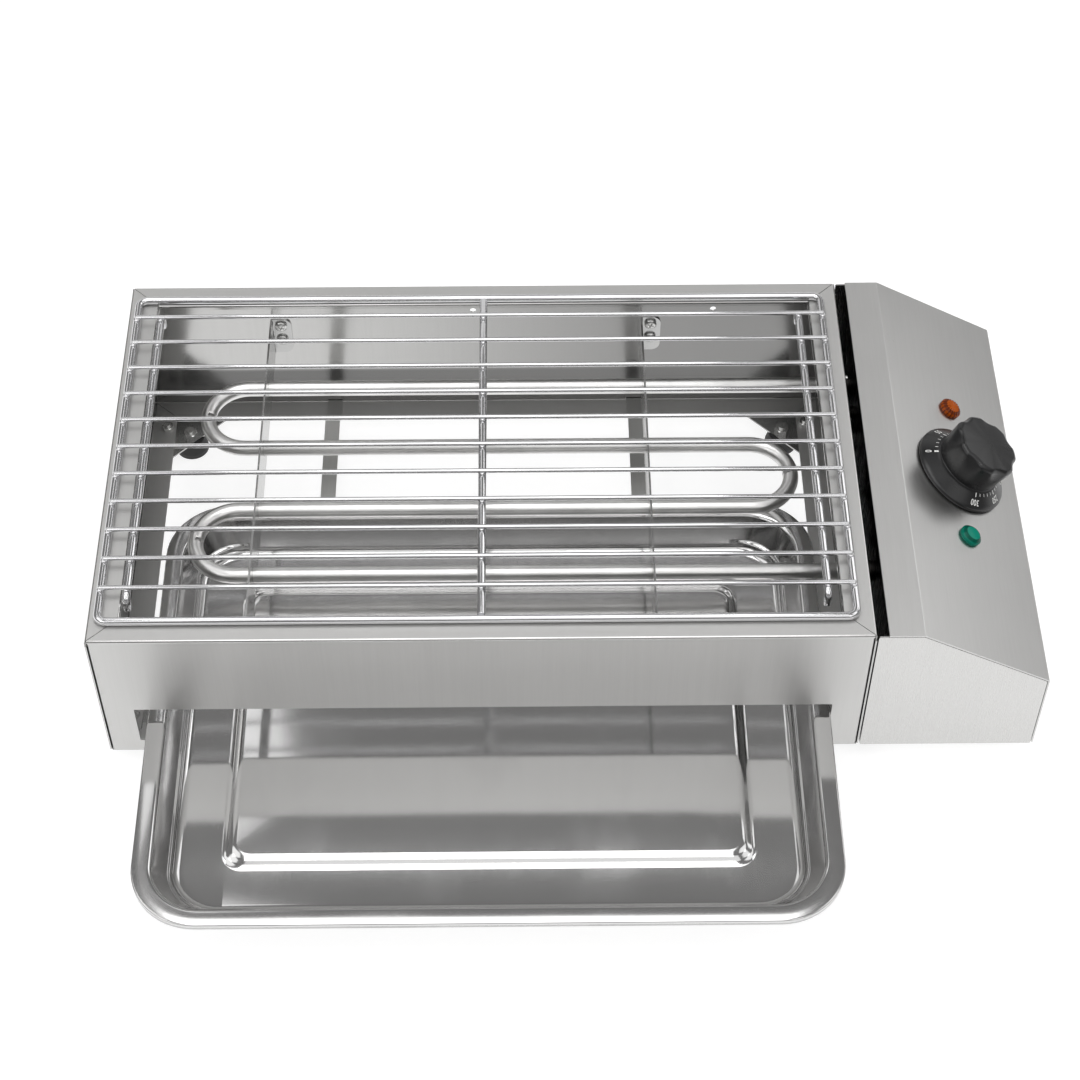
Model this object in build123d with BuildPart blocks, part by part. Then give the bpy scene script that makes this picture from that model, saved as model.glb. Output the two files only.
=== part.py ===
from build123d import *
from math import atan2, cos, pi, radians, sin, tan
import os

os.makedirs("parts", exist_ok=True)

# Portable electric table grill, in millimetres.
# X runs left to right, Y from the front to the back and Z up from the table.
# Heights marked DOWN are measured down from the top face of the cooking box.

# Cooking box
BODY_LENGTH = 462.0
BODY_DEPTH = 290.0
BODY_HEIGHT = 112.0
SHEET = 1.0
BEND = 1.0
BEND_OUTSIDE = BEND + SHEET / 2
SIDE_TOP_FLANGE = 18.5
END_TOP_FLANGE = 17.0
TOP_LIP = 3.5
SIDE_BOTTOM_FLANGE = 17.5
END_BOTTOM_FLANGE = 15.5
END_RETURN = 17.0
MITRE_GAP = 0.6
SEAM_GAP = 0.5

# Window in the front for the drip tray, with a bar below it
WINDOW_LEG = 20.0
WINDOW_TOP_DOWN = 68.5
WINDOW_CORNER = 1.0
FRONT_BAR = 11.1
HEM_DEPTH = 13.0

# Control box on the right
CONTROL_LENGTH = 108.0
CONTROL_SEAM = 0.9
CONTROL_TOP = 27.9
SLOPE_DROP = 46.0
VENT_SLOT = 6.8
COVER_FOLD = 5.0
COVER_BOTTOM_FLANGE = 13.0
CHASSIS_FLANGE = 10.0
COVER_CLEARANCE = 0.4
CORNER_ROUND = 1.0

# Gussets and feet
GUSSET_SHEET = 1.2
GUSSET_TIP = 53.4
GUSSET_REACH = 68.0
GUSSET_EDGE = 1.0
FOOT_HEIGHT = 11.3
FOOT_DIAMETER = 22.0
FOOT_WAIST = 18.0
FOOT_RECESS = 5.5
FOOT_RECESS_ROOM = 1.0
FOOT_RIM = 3.4
FOOT_INSET_X = 28.0
FOOT_INSET_Y = 31.0
FOOT_SCREW = 5.0
GUSSET_SCREW = 4.0
GUSSET_SCREW_INSET_X = 12.0
GUSSET_SCREW_INSET_Y = 25.5

# Drip tray
TRAY_SHEET = 0.8
TRAY_WIDTH = 414.0
TRAY_LENGTH = 310.6
TRAY_HEIGHT = 23.9
TRAY_OUT = 144.6
TRAY_SHIFT = 3.4
TRAY_CORNER = 40.0
TRAY_RIM = 11.0
TRAY_LIP = 4.0
TRAY_DRAFT = 10.9
TRAY_MOUTH_CORNER = 31.0
TRAY_BOTTOM_CORNER = 27.0
TRAY_FLOOR_ROUND = 5.0
PANEL_RISE = 3.0
PANEL_STEP = 5.5
PANEL_MARGIN_X = 28.0
PANEL_MARGIN_Y = 29.8
PANEL_CORNER = 12.0
TRAY_RUN = 0.3

# Straps that carry the tray
STRAP_WIDTH = 10.0
STRAP_SHEET = 1.2
STRAP_SPREAD = 207.0
STRAP_SHIFT = -1.5
STRAP_RAMP_START = 18.0
STRAP_RAMP_END = 28.0
STRAP_BEND = 3.0

# Heating element
TUBE_DIAMETER = 10.0
TUBE_DOWN = 45.0
TUBE_PITCH = 52.1
TUBE_FRONT_PASS = 84.0
TUBE_LEFT_CLEAR = 46.0
TUBE_RIGHT_CLEAR = 30.0
TUBE_END = 20.0
TUBE_HOLE_CLEARANCE = 0.3
BUSH_DIAMETER = 12.0
BUSH_COLLAR = 13.0
BUSH_COLLAR_THICK = 2.0
BUSH_NUT_FLATS = 17.0
BUSH_NUT_THICK = 5.0
INSULATOR_DIAMETER = 7.0
INSULATOR_LENGTH = 8.0
PIN_DIAMETER = 2.6
PIN_LENGTH = 9.0
TAB_LENGTH = 9.0
TAB_WIDTH = 6.3
TAB_THICK = 0.8
TAB_GAP = 1.0
TAB_HOLE = 1.8
TAB_HOLE_PART = 0.7

# Upright strips that carry the element
SUPPORT_SHEET = 1.2
SUPPORT_TOP_DOWN = 29.0
SUPPORT_TALL = 31.0
SUPPORT_LEFT = 88.5
SUPPORT_RIGHT = 335.8
SUPPORT_EAR = 13.0
SUPPORT_EAR_ROUND = 6.0
SUPPORT_SCREW = 4.0
SUPPORT_SCREW_SIDE = 6.2
SUPPORT_SCREW_DOWNS = (34.6, 47.4)
BACK_HOLE = 4.0
BACK_HOLES_X = (223.4, 383.3)
BACK_HOLE_DOWN = 22.5

# Wire rack
LOOP_WIRE = 5.0
LONG_WIRE = 5.0
CROSS_WIRE = 3.0
RACK_LIFT = 0.3
LOOP_LEFT = 6.5
LOOP_RIGHT = 11.0
LOOP_FRONT = 13.0
LOOP_BACK = 15.0
LOOP_CORNER = 5.5
CROSS_COUNT = 11
CROSS_FRONT = 34.9
CROSS_BACK = 34.1
LONG_SIDE_INSET = 15.5
HOOK_DROP = 10.0
HOOK_BEND = 5.0
HOOK_CLEARANCE = 9.5
CROSS_OVERHANG = 1.0

# Thermostat knob and lamps on the slope
KNOB_SKIRT = 63.0
KNOB_SKIRT_LIFT = 0.5
KNOB_LIP = 2.5
KNOB_BEVEL_TOP = 9.0
KNOB_BEVEL_STEP = 0.5
KNOB_GRIP_BASE = 42.0
KNOB_GRIP_TOP = 45.0
KNOB_HEIGHT = 30.0
KNOB_EDGE = 2.6
KNOB_CROWN = 0.8
KNOB_LOBES = 7
KNOB_FIRST_VALLEY = 81.0
SCALLOP_RADIUS = 16.0
SCALLOP_DEPTH = 2.9
SCALLOP_LEAN = 5.7
SCALLOP_OVER = 2.0
KNOB_HOLLOW = 55.0
KNOB_HOLLOW_DEEP = 4.0
SHAFT_DIAMETER = 6.0
SHAFT_FLAT = 1.4
SHAFT_REACH = 22.0
SHAFT_FIT = 0.05
SHAFT_RUN = 0.1
SHAFT_FOOT_GAP = 0.5
SHAFT_HOLE_CLEARANCE = 2.0
LAMP_SPREAD = 52.5
LAMP_DIAMETER = 14.5
LAMP_TALL = 4.5
LAMP_BEVEL = 2.2
LAMP_STEM = 9.6
LAMP_STEM_LENGTH = 9.0
LAMP_HOUSING = 13.0
LAMP_HOUSING_LENGTH = 22.0
LAMP_CLIP = 17.0
LAMP_CLIP_THICK = 2.0

# Inside the control box
THERMOSTAT_SIZE = 36.0
THERMOSTAT_DEEP = 20.0
THERMOSTAT_CORNER = 3.0
THERMOSTAT_BRACKET = 44.0
THERMOSTAT_BRACKET_THICK = 1.5
THERMOSTAT_SCREW_SPREAD = 28.0
THERMOSTAT_SCREW = 4.0
BULB_DIAMETER = 4.0
BULB_LENGTH = 84.0
BULB_DOWN = 66.0
CAPILLARY_DIAMETER = 1.6
CAPILLARY_BEND = 8.0
CAPILLARY_SIDE = 8.0
CAPILLARY_PAST = 20.0
CAPILLARY_HOLE = 4.8
BULB_GAP = 0.2
CLIP_SHEET = 0.6
CLIP_WIDTH = 8.0
CLIP_FOOT = 4.0
BLOCK_SIZE = (46.0, 20.0, 17.0)
BLOCK_SCREW_SPREAD = 38.0
BLOCK_WELL = 5.2
BLOCK_WELL_DEEP = 6.8
BLOCK_WELL_ROWS = 3
BLOCK_FROM_SEAM = 40.0
BLOCK_FROM_BACK = 70.0
EARTH_FROM_BACK = 70.0
GLAND_OUT = 12.0
GLAND_DIAMETER = 20.0
GLAND_BORE = 8.0
GLAND_THREAD = 16.0
GLAND_NUT_FLATS = 22.0
GLAND_FLANGE = 3.0
GLAND_NOSE = 12.0
GLAND_THREAD_LENGTH = 10.0
GLAND_NUT_TALL = 5.0
GLAND_FROM_SEAM = 76.0
GLAND_UP = 28.0
JOINING_SCREW = 4.0
JOINING_REACH = 4.0
JOINING_UPPER_INSET = 63.0
JOINING_UPPER_DOWN = 58.0
JOINING_LOWER_INSET = 40.0
JOINING_LOWER_UP = 14.0
STANDOFF_DIAMETER = 8.0
STANDOFF_RIVET = 5.0
SIDE_SCREW = 3.0
SIDE_SCREW_INSET = 77.0
SIDE_SCREW_DOWN = 9.0
SIDE_SCREW_TIP = 2.4
WALL_FLANGE = 12.0
BASE_SCREW = 4.0
BASE_SCREW_REACH = 3.0
COVER_SCREW_INSET = 60.0
EARTH_SCREW = 5.0
EARTH_FROM_SEAM = 84.0

# Screws and nuts: parts of the thread's diameter
HEAD_WIDTH = 2.0
HEAD_TALL = 0.65
HEAD_CHAMFER = 0.3
NUT_FLATS = 1.75
NUT_TALL = 0.8
HOLE_CLEARANCE = 0.15
THREAD_CLEARANCE = 0.05
THREAD_SHOWING = 1.5

# Places that follow from the sizes above
Z_BOTTOM = FOOT_HEIGHT + GUSSET_SHEET
Z_TOP = Z_BOTTOM + BODY_HEIGHT
X_LEFT = -(BODY_LENGTH + CONTROL_LENGTH) / 2
X_SEAM = X_LEFT + BODY_LENGTH
X_RIGHT = X_SEAM + CONTROL_LENGTH
Y_FRONT = (TRAY_OUT - BODY_DEPTH - GLAND_OUT) / 2
Y_BACK = Y_FRONT + BODY_DEPTH
BODY_X = (X_LEFT + X_SEAM) / 2
BODY_Y = (Y_FRONT + Y_BACK) / 2
HEM_TOP = Z_BOTTOM + FRONT_BAR
STRAP_TOP = HEM_TOP + STRAP_SHEET
TRAY_BOTTOM = STRAP_TOP + TRAY_RUN
TRAY_TOP = TRAY_BOTTOM + TRAY_HEIGHT
TRAY_X = BODY_X + TRAY_SHIFT
TRAY_Y = Y_FRONT - TRAY_OUT + TRAY_LENGTH / 2
X_COVER = X_SEAM + VENT_SLOT
X_INNER_WALL = X_COVER + 2 * SHEET + COVER_CLEARANCE
JOINING_PLACES = [
    (Y_BACK - JOINING_UPPER_INSET, Z_TOP - JOINING_UPPER_DOWN),
    (Y_FRONT + JOINING_LOWER_INSET, Z_BOTTOM + JOINING_LOWER_UP),
    (Y_BACK - JOINING_LOWER_INSET, Z_BOTTOM + JOINING_LOWER_UP),
]
SLOPE_ANGLE = atan2(SLOPE_DROP, CONTROL_LENGTH - CONTROL_TOP)
SLOPE_DOWN = Vector(cos(SLOPE_ANGLE), 0, -sin(SLOPE_ANGLE))
SLOPE_OUT = Vector(sin(SLOPE_ANGLE), 0, cos(SLOPE_ANGLE))
SLOPE_MIDDLE = Vector((X_SEAM + CONTROL_TOP + X_RIGHT) / 2, BODY_Y, Z_TOP - SLOPE_DROP / 2)
CORNERS = ((-1, -1), (1, -1), (-1, 1), (1, 1))
MIDDLE_ZONE = (Z_BOTTOM + BEND_OUTSIDE, Z_TOP - BEND_OUTSIDE)
END_PANEL_X = (X_LEFT + SHEET + SEAM_GAP, X_SEAM - SHEET - SEAM_GAP)


def up(z):
    """Level plane at this height."""
    return Plane.XY.offset(z)


def across(x):
    """Upright plane facing right; its own axes are Y and Z."""
    return Plane.YZ.offset(x)


def along(y):
    """Upright plane facing the front; its own axes are X and Z."""
    return Plane.XZ.offset(-y)


def bent_sheet(plane, points, thickness=SHEET, bend=BEND):
    """Section of a sheet bent along these points of its middle line."""
    with BuildSketch(plane) as section:
        with BuildLine():
            FilletPolyline(*points, radius=bend)
        trace(line_width=thickness)
    return section.sketch


def pan_screw(seat, thread, length):
    """Screw with a pan head on the seat; its shank runs in from the seat."""
    with BuildPart() as screw:
        with BuildSketch(seat):
            Circle(thread * HEAD_WIDTH / 2)
        extrude(amount=thread * HEAD_TALL)
        chamfer(screw.faces().sort_by(Axis(seat.origin, seat.z_dir))[-1].edges(), thread * HEAD_CHAMFER)
        with BuildSketch(seat):
            Circle(thread / 2 - THREAD_CLEARANCE)
        extrude(amount=-length)
    return screw.part


def hex_nut(seat, thread, flats=None, height=None):
    """Hexagon nut standing on the seat, bored for its thread."""
    flats = flats or thread * NUT_FLATS
    height = height or thread * NUT_TALL
    with BuildPart() as nut:
        with BuildSketch(seat):
            RegularPolygon(flats / 2, 6, major_radius=False)
            Circle(thread / 2, mode=Mode.SUBTRACT)
        extrude(amount=height)
    return nut.part


def ring(seat, outside, bore, height):
    """Plain ring, sleeve or washer on the seat."""
    with BuildPart() as sleeve:
        with BuildSketch(seat):
            Circle(outside / 2)
            Circle(bore / 2, mode=Mode.SUBTRACT)
        extrude(amount=height)
    return sleeve.part


def corner_offcuts(side_flange, end_flange, side_panel):
    """Triangles past the mitre line at the four corners of the cooking box."""
    for side, end in CORNERS:
        corner_x = BODY_X + side * BODY_LENGTH / 2
        corner_y = BODY_Y + end * BODY_DEPTH / 2
        shift_x = 0.0 if side_panel else -side * MITRE_GAP / 2
        shift_y = -end * MITRE_GAP / 2 if side_panel else 0.0
        outer = (corner_x + side * side_flange + shift_x, corner_y + end * end_flange + shift_y)
        inner = (corner_x - side * side_flange * 2 + shift_x, corner_y - end * end_flange * 2 + shift_y)
        third = (inner[0], outer[1]) if side_panel else (outer[0], inner[1])
        Polygon(outer, inner, third, align=None)


def cut_mitres(side_panel):
    """Cut the top and bottom flanges of a panel along the corner mitres."""
    with BuildSketch(up(Z_TOP)) as top:
        corner_offcuts(SIDE_TOP_FLANGE, END_TOP_FLANGE, side_panel)
    extrude(top.sketch, amount=-TOP_LIP - SHEET, mode=Mode.SUBTRACT)
    with BuildSketch(up(Z_BOTTOM)) as bottom:
        corner_offcuts(SIDE_BOTTOM_FLANGE, END_BOTTOM_FLANGE, side_panel)
    extrude(bottom.sketch, amount=BEND_OUTSIDE, mode=Mode.SUBTRACT)


def foot_places():
    """Centres of the four feet."""
    return [
        (BODY_X + side * (BODY_LENGTH / 2 - FOOT_INSET_X), BODY_Y + end * (BODY_DEPTH / 2 - FOOT_INSET_Y))
        for side, end in CORNERS
    ]


def gusset_screw_places():
    """Centres of the screws that hold the gussets to the side flanges."""
    return [
        (
            BODY_X + side * (BODY_LENGTH / 2 - GUSSET_SCREW_INSET_X),
            BODY_Y + end * (BODY_DEPTH / 2 - GUSSET_SCREW_INSET_Y),
        )
        for side, end in CORNERS
    ]


def support_screw_places():
    """X and Z of the screws that hold the element supports to the back panel."""
    return [
        (X_LEFT + strip + SUPPORT_SCREW_SIDE, Z_TOP - down)
        for strip in (SUPPORT_LEFT, SUPPORT_RIGHT)
        for down in SUPPORT_SCREW_DOWNS
    ]


def end_panel(front):
    """Front or back panel: face with flanges turned inwards on all four sides."""
    outside = Y_FRONT if front else Y_BACK
    inward = 1 if front else -1
    face_y = outside + inward * SHEET / 2
    left, right = END_PANEL_X
    channel = bent_sheet(
        across(left),
        [
            (outside + inward * END_TOP_FLANGE, Z_TOP - TOP_LIP),
            (outside + inward * END_TOP_FLANGE, Z_TOP - SHEET / 2),
            (face_y, Z_TOP - SHEET / 2),
            (face_y, Z_BOTTOM + SHEET / 2),
            (outside + inward * END_BOTTOM_FLANGE, Z_BOTTOM + SHEET / 2),
        ],
    )
    returns = bent_sheet(
        up(MIDDLE_ZONE[0]),
        [
            (left + SHEET / 2, outside + inward * END_RETURN),
            (left + SHEET / 2, face_y),
            (right - SHEET / 2, face_y),
            (right - SHEET / 2, outside + inward * END_RETURN),
        ],
    )
    with BuildPart() as panel:
        extrude(channel, amount=right - left)
        cut_mitres(False)
        with BuildSketch(up(MIDDLE_ZONE[0])) as edges:
            with Locations((left, outside), (right, outside)):
                Rectangle(2 * BEND_OUTSIDE, 2 * (SHEET + BEND_OUTSIDE))
        extrude(edges.sketch, amount=MIDDLE_ZONE[1] - MIDDLE_ZONE[0], mode=Mode.SUBTRACT)
        extrude(returns, amount=MIDDLE_ZONE[1] - MIDDLE_ZONE[0])
    return panel.part


# Front panel with the tray window and the hem that its lower edge is folded to
with BuildPart() as front_panel:
    add(end_panel(True))
    window_top = Z_TOP - WINDOW_TOP_DOWN
    with BuildSketch(along(Y_FRONT)) as window:
        with Locations((BODY_X, (window_top + HEM_TOP) / 2)):
            Rectangle(BODY_LENGTH - 2 * WINDOW_LEG, window_top - HEM_TOP)
        fillet(window.vertices().group_by(Axis.Y)[-1], WINDOW_CORNER)
    extrude(amount=-BEND_OUTSIDE, mode=Mode.SUBTRACT)
    hem = bent_sheet(
        across(X_LEFT + WINDOW_LEG),
        [
            (Y_FRONT + SHEET / 2, HEM_TOP - 3 * BEND),
            (Y_FRONT + SHEET / 2, HEM_TOP - SHEET / 2),
            (Y_FRONT + HEM_DEPTH, HEM_TOP - SHEET / 2),
        ],
    )
    extrude(hem, amount=BODY_LENGTH - 2 * WINDOW_LEG)
front_panel.part.label = "front_panel"
export_step(front_panel.part, "parts/front_panel.step")

# Back panel with the screw holes of the element supports and two open holes
with BuildPart() as back_panel:
    add(end_panel(False))
    with BuildSketch(along(Y_BACK)):
        with Locations(*support_screw_places()):
            Circle(SUPPORT_SCREW / 2 + HOLE_CLEARANCE)
        with Locations(*[(X_LEFT + x, Z_TOP - BACK_HOLE_DOWN) for x in BACK_HOLES_X]):
            Circle(BACK_HOLE / 2)
    extrude(amount=SHEET, mode=Mode.SUBTRACT)
back_panel.part.label = "back_panel"
export_step(back_panel.part, "parts/back_panel.step")


def side_panel(left):
    """Side panel: channel with mitred flanges that reaches past both end panels."""
    outside = X_LEFT if left else X_SEAM
    inward = 1 if left else -1
    face_x = outside + inward * SHEET / 2
    channel = bent_sheet(
        along(Y_FRONT),
        [
            (outside + inward * SIDE_TOP_FLANGE, Z_TOP - TOP_LIP),
            (outside + inward * SIDE_TOP_FLANGE, Z_TOP - SHEET / 2),
            (face_x, Z_TOP - SHEET / 2),
            (face_x, Z_BOTTOM + SHEET / 2),
            (outside + inward * SIDE_BOTTOM_FLANGE, Z_BOTTOM + SHEET / 2),
        ],
    )
    with BuildPart() as panel:
        extrude(channel, amount=-BODY_DEPTH)
        cut_mitres(True)
        holes = [place for place in gusset_screw_places() if (place[0] < BODY_X) == left]
        with BuildSketch(up(Z_BOTTOM)) as drilled:
            with Locations(*holes):
                Circle(GUSSET_SCREW / 2 + HOLE_CLEARANCE)
        extrude(drilled.sketch, amount=SHEET, mode=Mode.SUBTRACT)
    return panel.part


# Left side panel
with BuildPart() as left_side_panel:
    add(side_panel(True))
left_side_panel.part.label = "left_side_panel"
export_step(left_side_panel.part, "parts/left_side_panel.step")

# Right side panel, where the element, the joining screws and the bulb tube pass
TUBE_Z = Z_TOP - TUBE_DOWN
TUBE_PASSES = [Y_FRONT + TUBE_FRONT_PASS + n * TUBE_PITCH for n in range(4)]
with BuildPart() as right_side_panel:
    add(side_panel(False))
    with BuildSketch(across(X_SEAM)):
        with Locations((TUBE_PASSES[0], TUBE_Z), (TUBE_PASSES[3], TUBE_Z)):
            Circle(TUBE_DIAMETER / 2 + TUBE_HOLE_CLEARANCE)
        with Locations(*JOINING_PLACES):
            Circle(STANDOFF_RIVET / 2)
        with Locations((Y_BACK - SIDE_SCREW_INSET, Z_TOP - SIDE_SCREW_DOWN)):
            Circle(SIDE_SCREW / 2 + HOLE_CLEARANCE)
    extrude(amount=-SHEET, mode=Mode.SUBTRACT)
right_side_panel.part.label = "right_side_panel"
export_step(right_side_panel.part, "parts/right_side_panel.step")

# Small screw in the right side panel, with its tip in the vent slot
SIDE_SCREW_PLACE = (Y_BACK - SIDE_SCREW_INSET, Z_TOP - SIDE_SCREW_DOWN)
with BuildPart() as side_screw:
    seat = Plane(origin=(X_SEAM - SHEET, *SIDE_SCREW_PLACE), z_dir=(-1, 0, 0))
    add(pan_screw(seat, SIDE_SCREW, SHEET + SIDE_SCREW_TIP))
side_screw.part.label = "side_screw"
export_step(side_screw.part, "parts/side_screw.step")

# Corner gussets under the flanges
with BuildPart() as corner_gussets:
    with BuildSketch(up(FOOT_HEIGHT)):
        for side, end in CORNERS:
            corner_x = BODY_X + side * BODY_LENGTH / 2
            corner_y = BODY_Y + end * BODY_DEPTH / 2
            tip = GUSSET_REACH - GUSSET_TIP
            outline = [
                (GUSSET_EDGE, GUSSET_EDGE),
                (GUSSET_TIP, GUSSET_EDGE),
                (GUSSET_TIP, tip),
                (tip, GUSSET_TIP),
                (GUSSET_EDGE, GUSSET_TIP),
            ]
            Polygon(*[(corner_x - side * x, corner_y - end * y) for x, y in outline], align=None)
        with Locations(*foot_places()):
            Circle(FOOT_SCREW / 2 + HOLE_CLEARANCE, mode=Mode.SUBTRACT)
        with Locations(*gusset_screw_places()):
            Circle(GUSSET_SCREW / 2 + HOLE_CLEARANCE, mode=Mode.SUBTRACT)
    extrude(amount=GUSSET_SHEET)
corner_gussets.part.label = "corner_gussets"
export_step(corner_gussets.part, "parts/corner_gussets.step")

# Screws and nuts that hold the gussets to the side flanges
with BuildPart() as gusset_screws:
    for x, y in gusset_screw_places():
        seat = Plane(origin=(x, y, FOOT_HEIGHT), z_dir=(0, 0, -1))
        grip = GUSSET_SHEET + SHEET
        add(pan_screw(seat, GUSSET_SCREW, grip + GUSSET_SCREW * NUT_TALL + THREAD_SHOWING))
gusset_screws.part.label = "gusset_screws"
export_step(gusset_screws.part, "parts/gusset_screws.step")

with BuildPart() as gusset_nuts:
    for x, y in gusset_screw_places():
        add(hex_nut(Plane(origin=(x, y, Z_BOTTOM + SHEET)), GUSSET_SCREW))
gusset_nuts.part.label = "gusset_nuts"
export_step(gusset_nuts.part, "parts/gusset_nuts.step")

# Rubber feet: waisted pads with a recess below for the screw head
with BuildPart() as rubber_feet:
    recess = FOOT_SCREW * HEAD_WIDTH / 2 + FOOT_RECESS_ROOM
    for x, y in foot_places():
        with BuildSketch(Plane(origin=(x, y, 0), x_dir=(1, 0, 0), z_dir=(0, -1, 0))) as profile:
            with BuildLine():
                Polyline(
                    (FOOT_SCREW / 2 + HOLE_CLEARANCE, FOOT_RECESS),
                    (recess, FOOT_RECESS),
                    (recess, 0),
                    (FOOT_DIAMETER / 2, 0),
                    (FOOT_DIAMETER / 2, FOOT_RIM),
                    (FOOT_WAIST / 2, FOOT_HEIGHT),
                    (FOOT_SCREW / 2 + HOLE_CLEARANCE, FOOT_HEIGHT),
                    close=True,
                )
            make_face()
        revolve(profile.sketch, axis=Axis((x, y, 0), (0, 0, 1)))
rubber_feet.part.label = "rubber_feet"
export_step(rubber_feet.part, "parts/rubber_feet.step")

with BuildPart() as foot_screws:
    for x, y in foot_places():
        seat = Plane(origin=(x, y, FOOT_RECESS), z_dir=(0, 0, -1))
        length = Z_BOTTOM - FOOT_RECESS + FOOT_SCREW * NUT_TALL + THREAD_SHOWING
        add(pan_screw(seat, FOOT_SCREW, length))
foot_screws.part.label = "foot_screws"
export_step(foot_screws.part, "parts/foot_screws.step")

with BuildPart() as foot_nuts:
    for x, y in foot_places():
        add(hex_nut(Plane(origin=(x, y, Z_BOTTOM)), FOOT_SCREW))
foot_nuts.part.label = "foot_nuts"
export_step(foot_nuts.part, "parts/foot_nuts.step")

# Heating element: one tube with three hairpin bends, both ends on the right
TUBE_RIGHT_END = X_INNER_WALL + TUBE_END
bend_radius = TUBE_PITCH / 2
left_turn = X_LEFT + TUBE_LEFT_CLEAR + TUBE_DIAMETER / 2 + bend_radius
right_turn = X_SEAM - TUBE_RIGHT_CLEAR - TUBE_DIAMETER / 2 - bend_radius
with BuildPart() as heating_element:
    with BuildLine(up(TUBE_Z)) as route:
        Line((TUBE_RIGHT_END, TUBE_PASSES[0]), (left_turn, TUBE_PASSES[0]))
        ThreePointArc(
            (left_turn, TUBE_PASSES[0]),
            (left_turn - bend_radius, TUBE_PASSES[0] + bend_radius),
            (left_turn, TUBE_PASSES[1]),
        )
        Line((left_turn, TUBE_PASSES[1]), (right_turn, TUBE_PASSES[1]))
        ThreePointArc(
            (right_turn, TUBE_PASSES[1]),
            (right_turn + bend_radius, TUBE_PASSES[1] + bend_radius),
            (right_turn, TUBE_PASSES[2]),
        )
        Line((right_turn, TUBE_PASSES[2]), (left_turn, TUBE_PASSES[2]))
        ThreePointArc(
            (left_turn, TUBE_PASSES[2]),
            (left_turn - bend_radius, TUBE_PASSES[2] + bend_radius),
            (left_turn, TUBE_PASSES[3]),
        )
        Line((left_turn, TUBE_PASSES[3]), (TUBE_RIGHT_END, TUBE_PASSES[3]))
    with BuildSketch(Plane(origin=(TUBE_RIGHT_END, TUBE_PASSES[0], TUBE_Z), z_dir=(-1, 0, 0))):
        Circle(TUBE_DIAMETER / 2)
    sweep(path=route.line)
    tube_length = sum(edge.length for edge in route.edges())
    print("element tube", round(tube_length, 1), "volume ratio",
          round(heating_element.part.volume / (tube_length * pi * (TUBE_DIAMETER / 2) ** 2), 4))
heating_element.part.label = "heating_element"
export_step(heating_element.part, "parts/heating_element.step")

# Threaded bushes on the tube ends, clamped to the inner wall by nuts
ELEMENT_ENDS = (TUBE_PASSES[0], TUBE_PASSES[3])
BUSH_LENGTH = SHEET + BUSH_NUT_THICK + THREAD_SHOWING
with BuildPart() as element_bushes:
    for y in ELEMENT_ENDS:
        collar = across(X_INNER_WALL - SHEET)
        with BuildSketch(collar) as flange:
            with Locations((y, TUBE_Z)):
                Circle(BUSH_COLLAR / 2)
                Circle(TUBE_DIAMETER / 2, mode=Mode.SUBTRACT)
        extrude(flange.sketch, amount=-BUSH_COLLAR_THICK)
        with BuildSketch(collar) as sleeve:
            with Locations((y, TUBE_Z)):
                Circle(BUSH_DIAMETER / 2)
                Circle(TUBE_DIAMETER / 2, mode=Mode.SUBTRACT)
        extrude(sleeve.sketch, amount=BUSH_LENGTH)
element_bushes.part.label = "element_bushes"
export_step(element_bushes.part, "parts/element_bushes.step")

with BuildPart() as element_nuts:
    for y in ELEMENT_ENDS:
        seat = Plane(origin=(X_INNER_WALL, y, TUBE_Z), z_dir=(1, 0, 0))
        add(hex_nut(seat, BUSH_DIAMETER, BUSH_NUT_FLATS, BUSH_NUT_THICK))
element_nuts.part.label = "element_nuts"
export_step(element_nuts.part, "parts/element_nuts.step")

# Ceramic insulators and terminal pins on the tube ends
with BuildPart() as element_insulators:
    for y in ELEMENT_ENDS:
        seat = Plane(origin=(TUBE_RIGHT_END, y, TUBE_Z), z_dir=(1, 0, 0))
        add(ring(seat, INSULATOR_DIAMETER, PIN_DIAMETER, INSULATOR_LENGTH))
element_insulators.part.label = "element_insulators"
export_step(element_insulators.part, "parts/element_insulators.step")

with BuildPart() as element_terminals:
    for y in ELEMENT_ENDS:
        with BuildSketch(Plane(origin=(TUBE_RIGHT_END, y, TUBE_Z), z_dir=(1, 0, 0))) as pin:
            Circle(PIN_DIAMETER / 2)
        extrude(pin.sketch, amount=INSULATOR_LENGTH + PIN_LENGTH / 2)
        tab_start = TUBE_RIGHT_END + INSULATOR_LENGTH + TAB_GAP
        with BuildSketch(up(TUBE_Z - TAB_THICK / 2)) as tab:
            with Locations((tab_start + TAB_LENGTH / 2, y)):
                Rectangle(TAB_LENGTH, TAB_WIDTH)
            with Locations((tab_start + TAB_LENGTH * TAB_HOLE_PART, y)):
                Circle(TAB_HOLE / 2, mode=Mode.SUBTRACT)
        extrude(tab.sketch, amount=TAB_THICK)
element_terminals.part.label = "element_terminals"
export_step(element_terminals.part, "parts/element_terminals.step")


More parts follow.
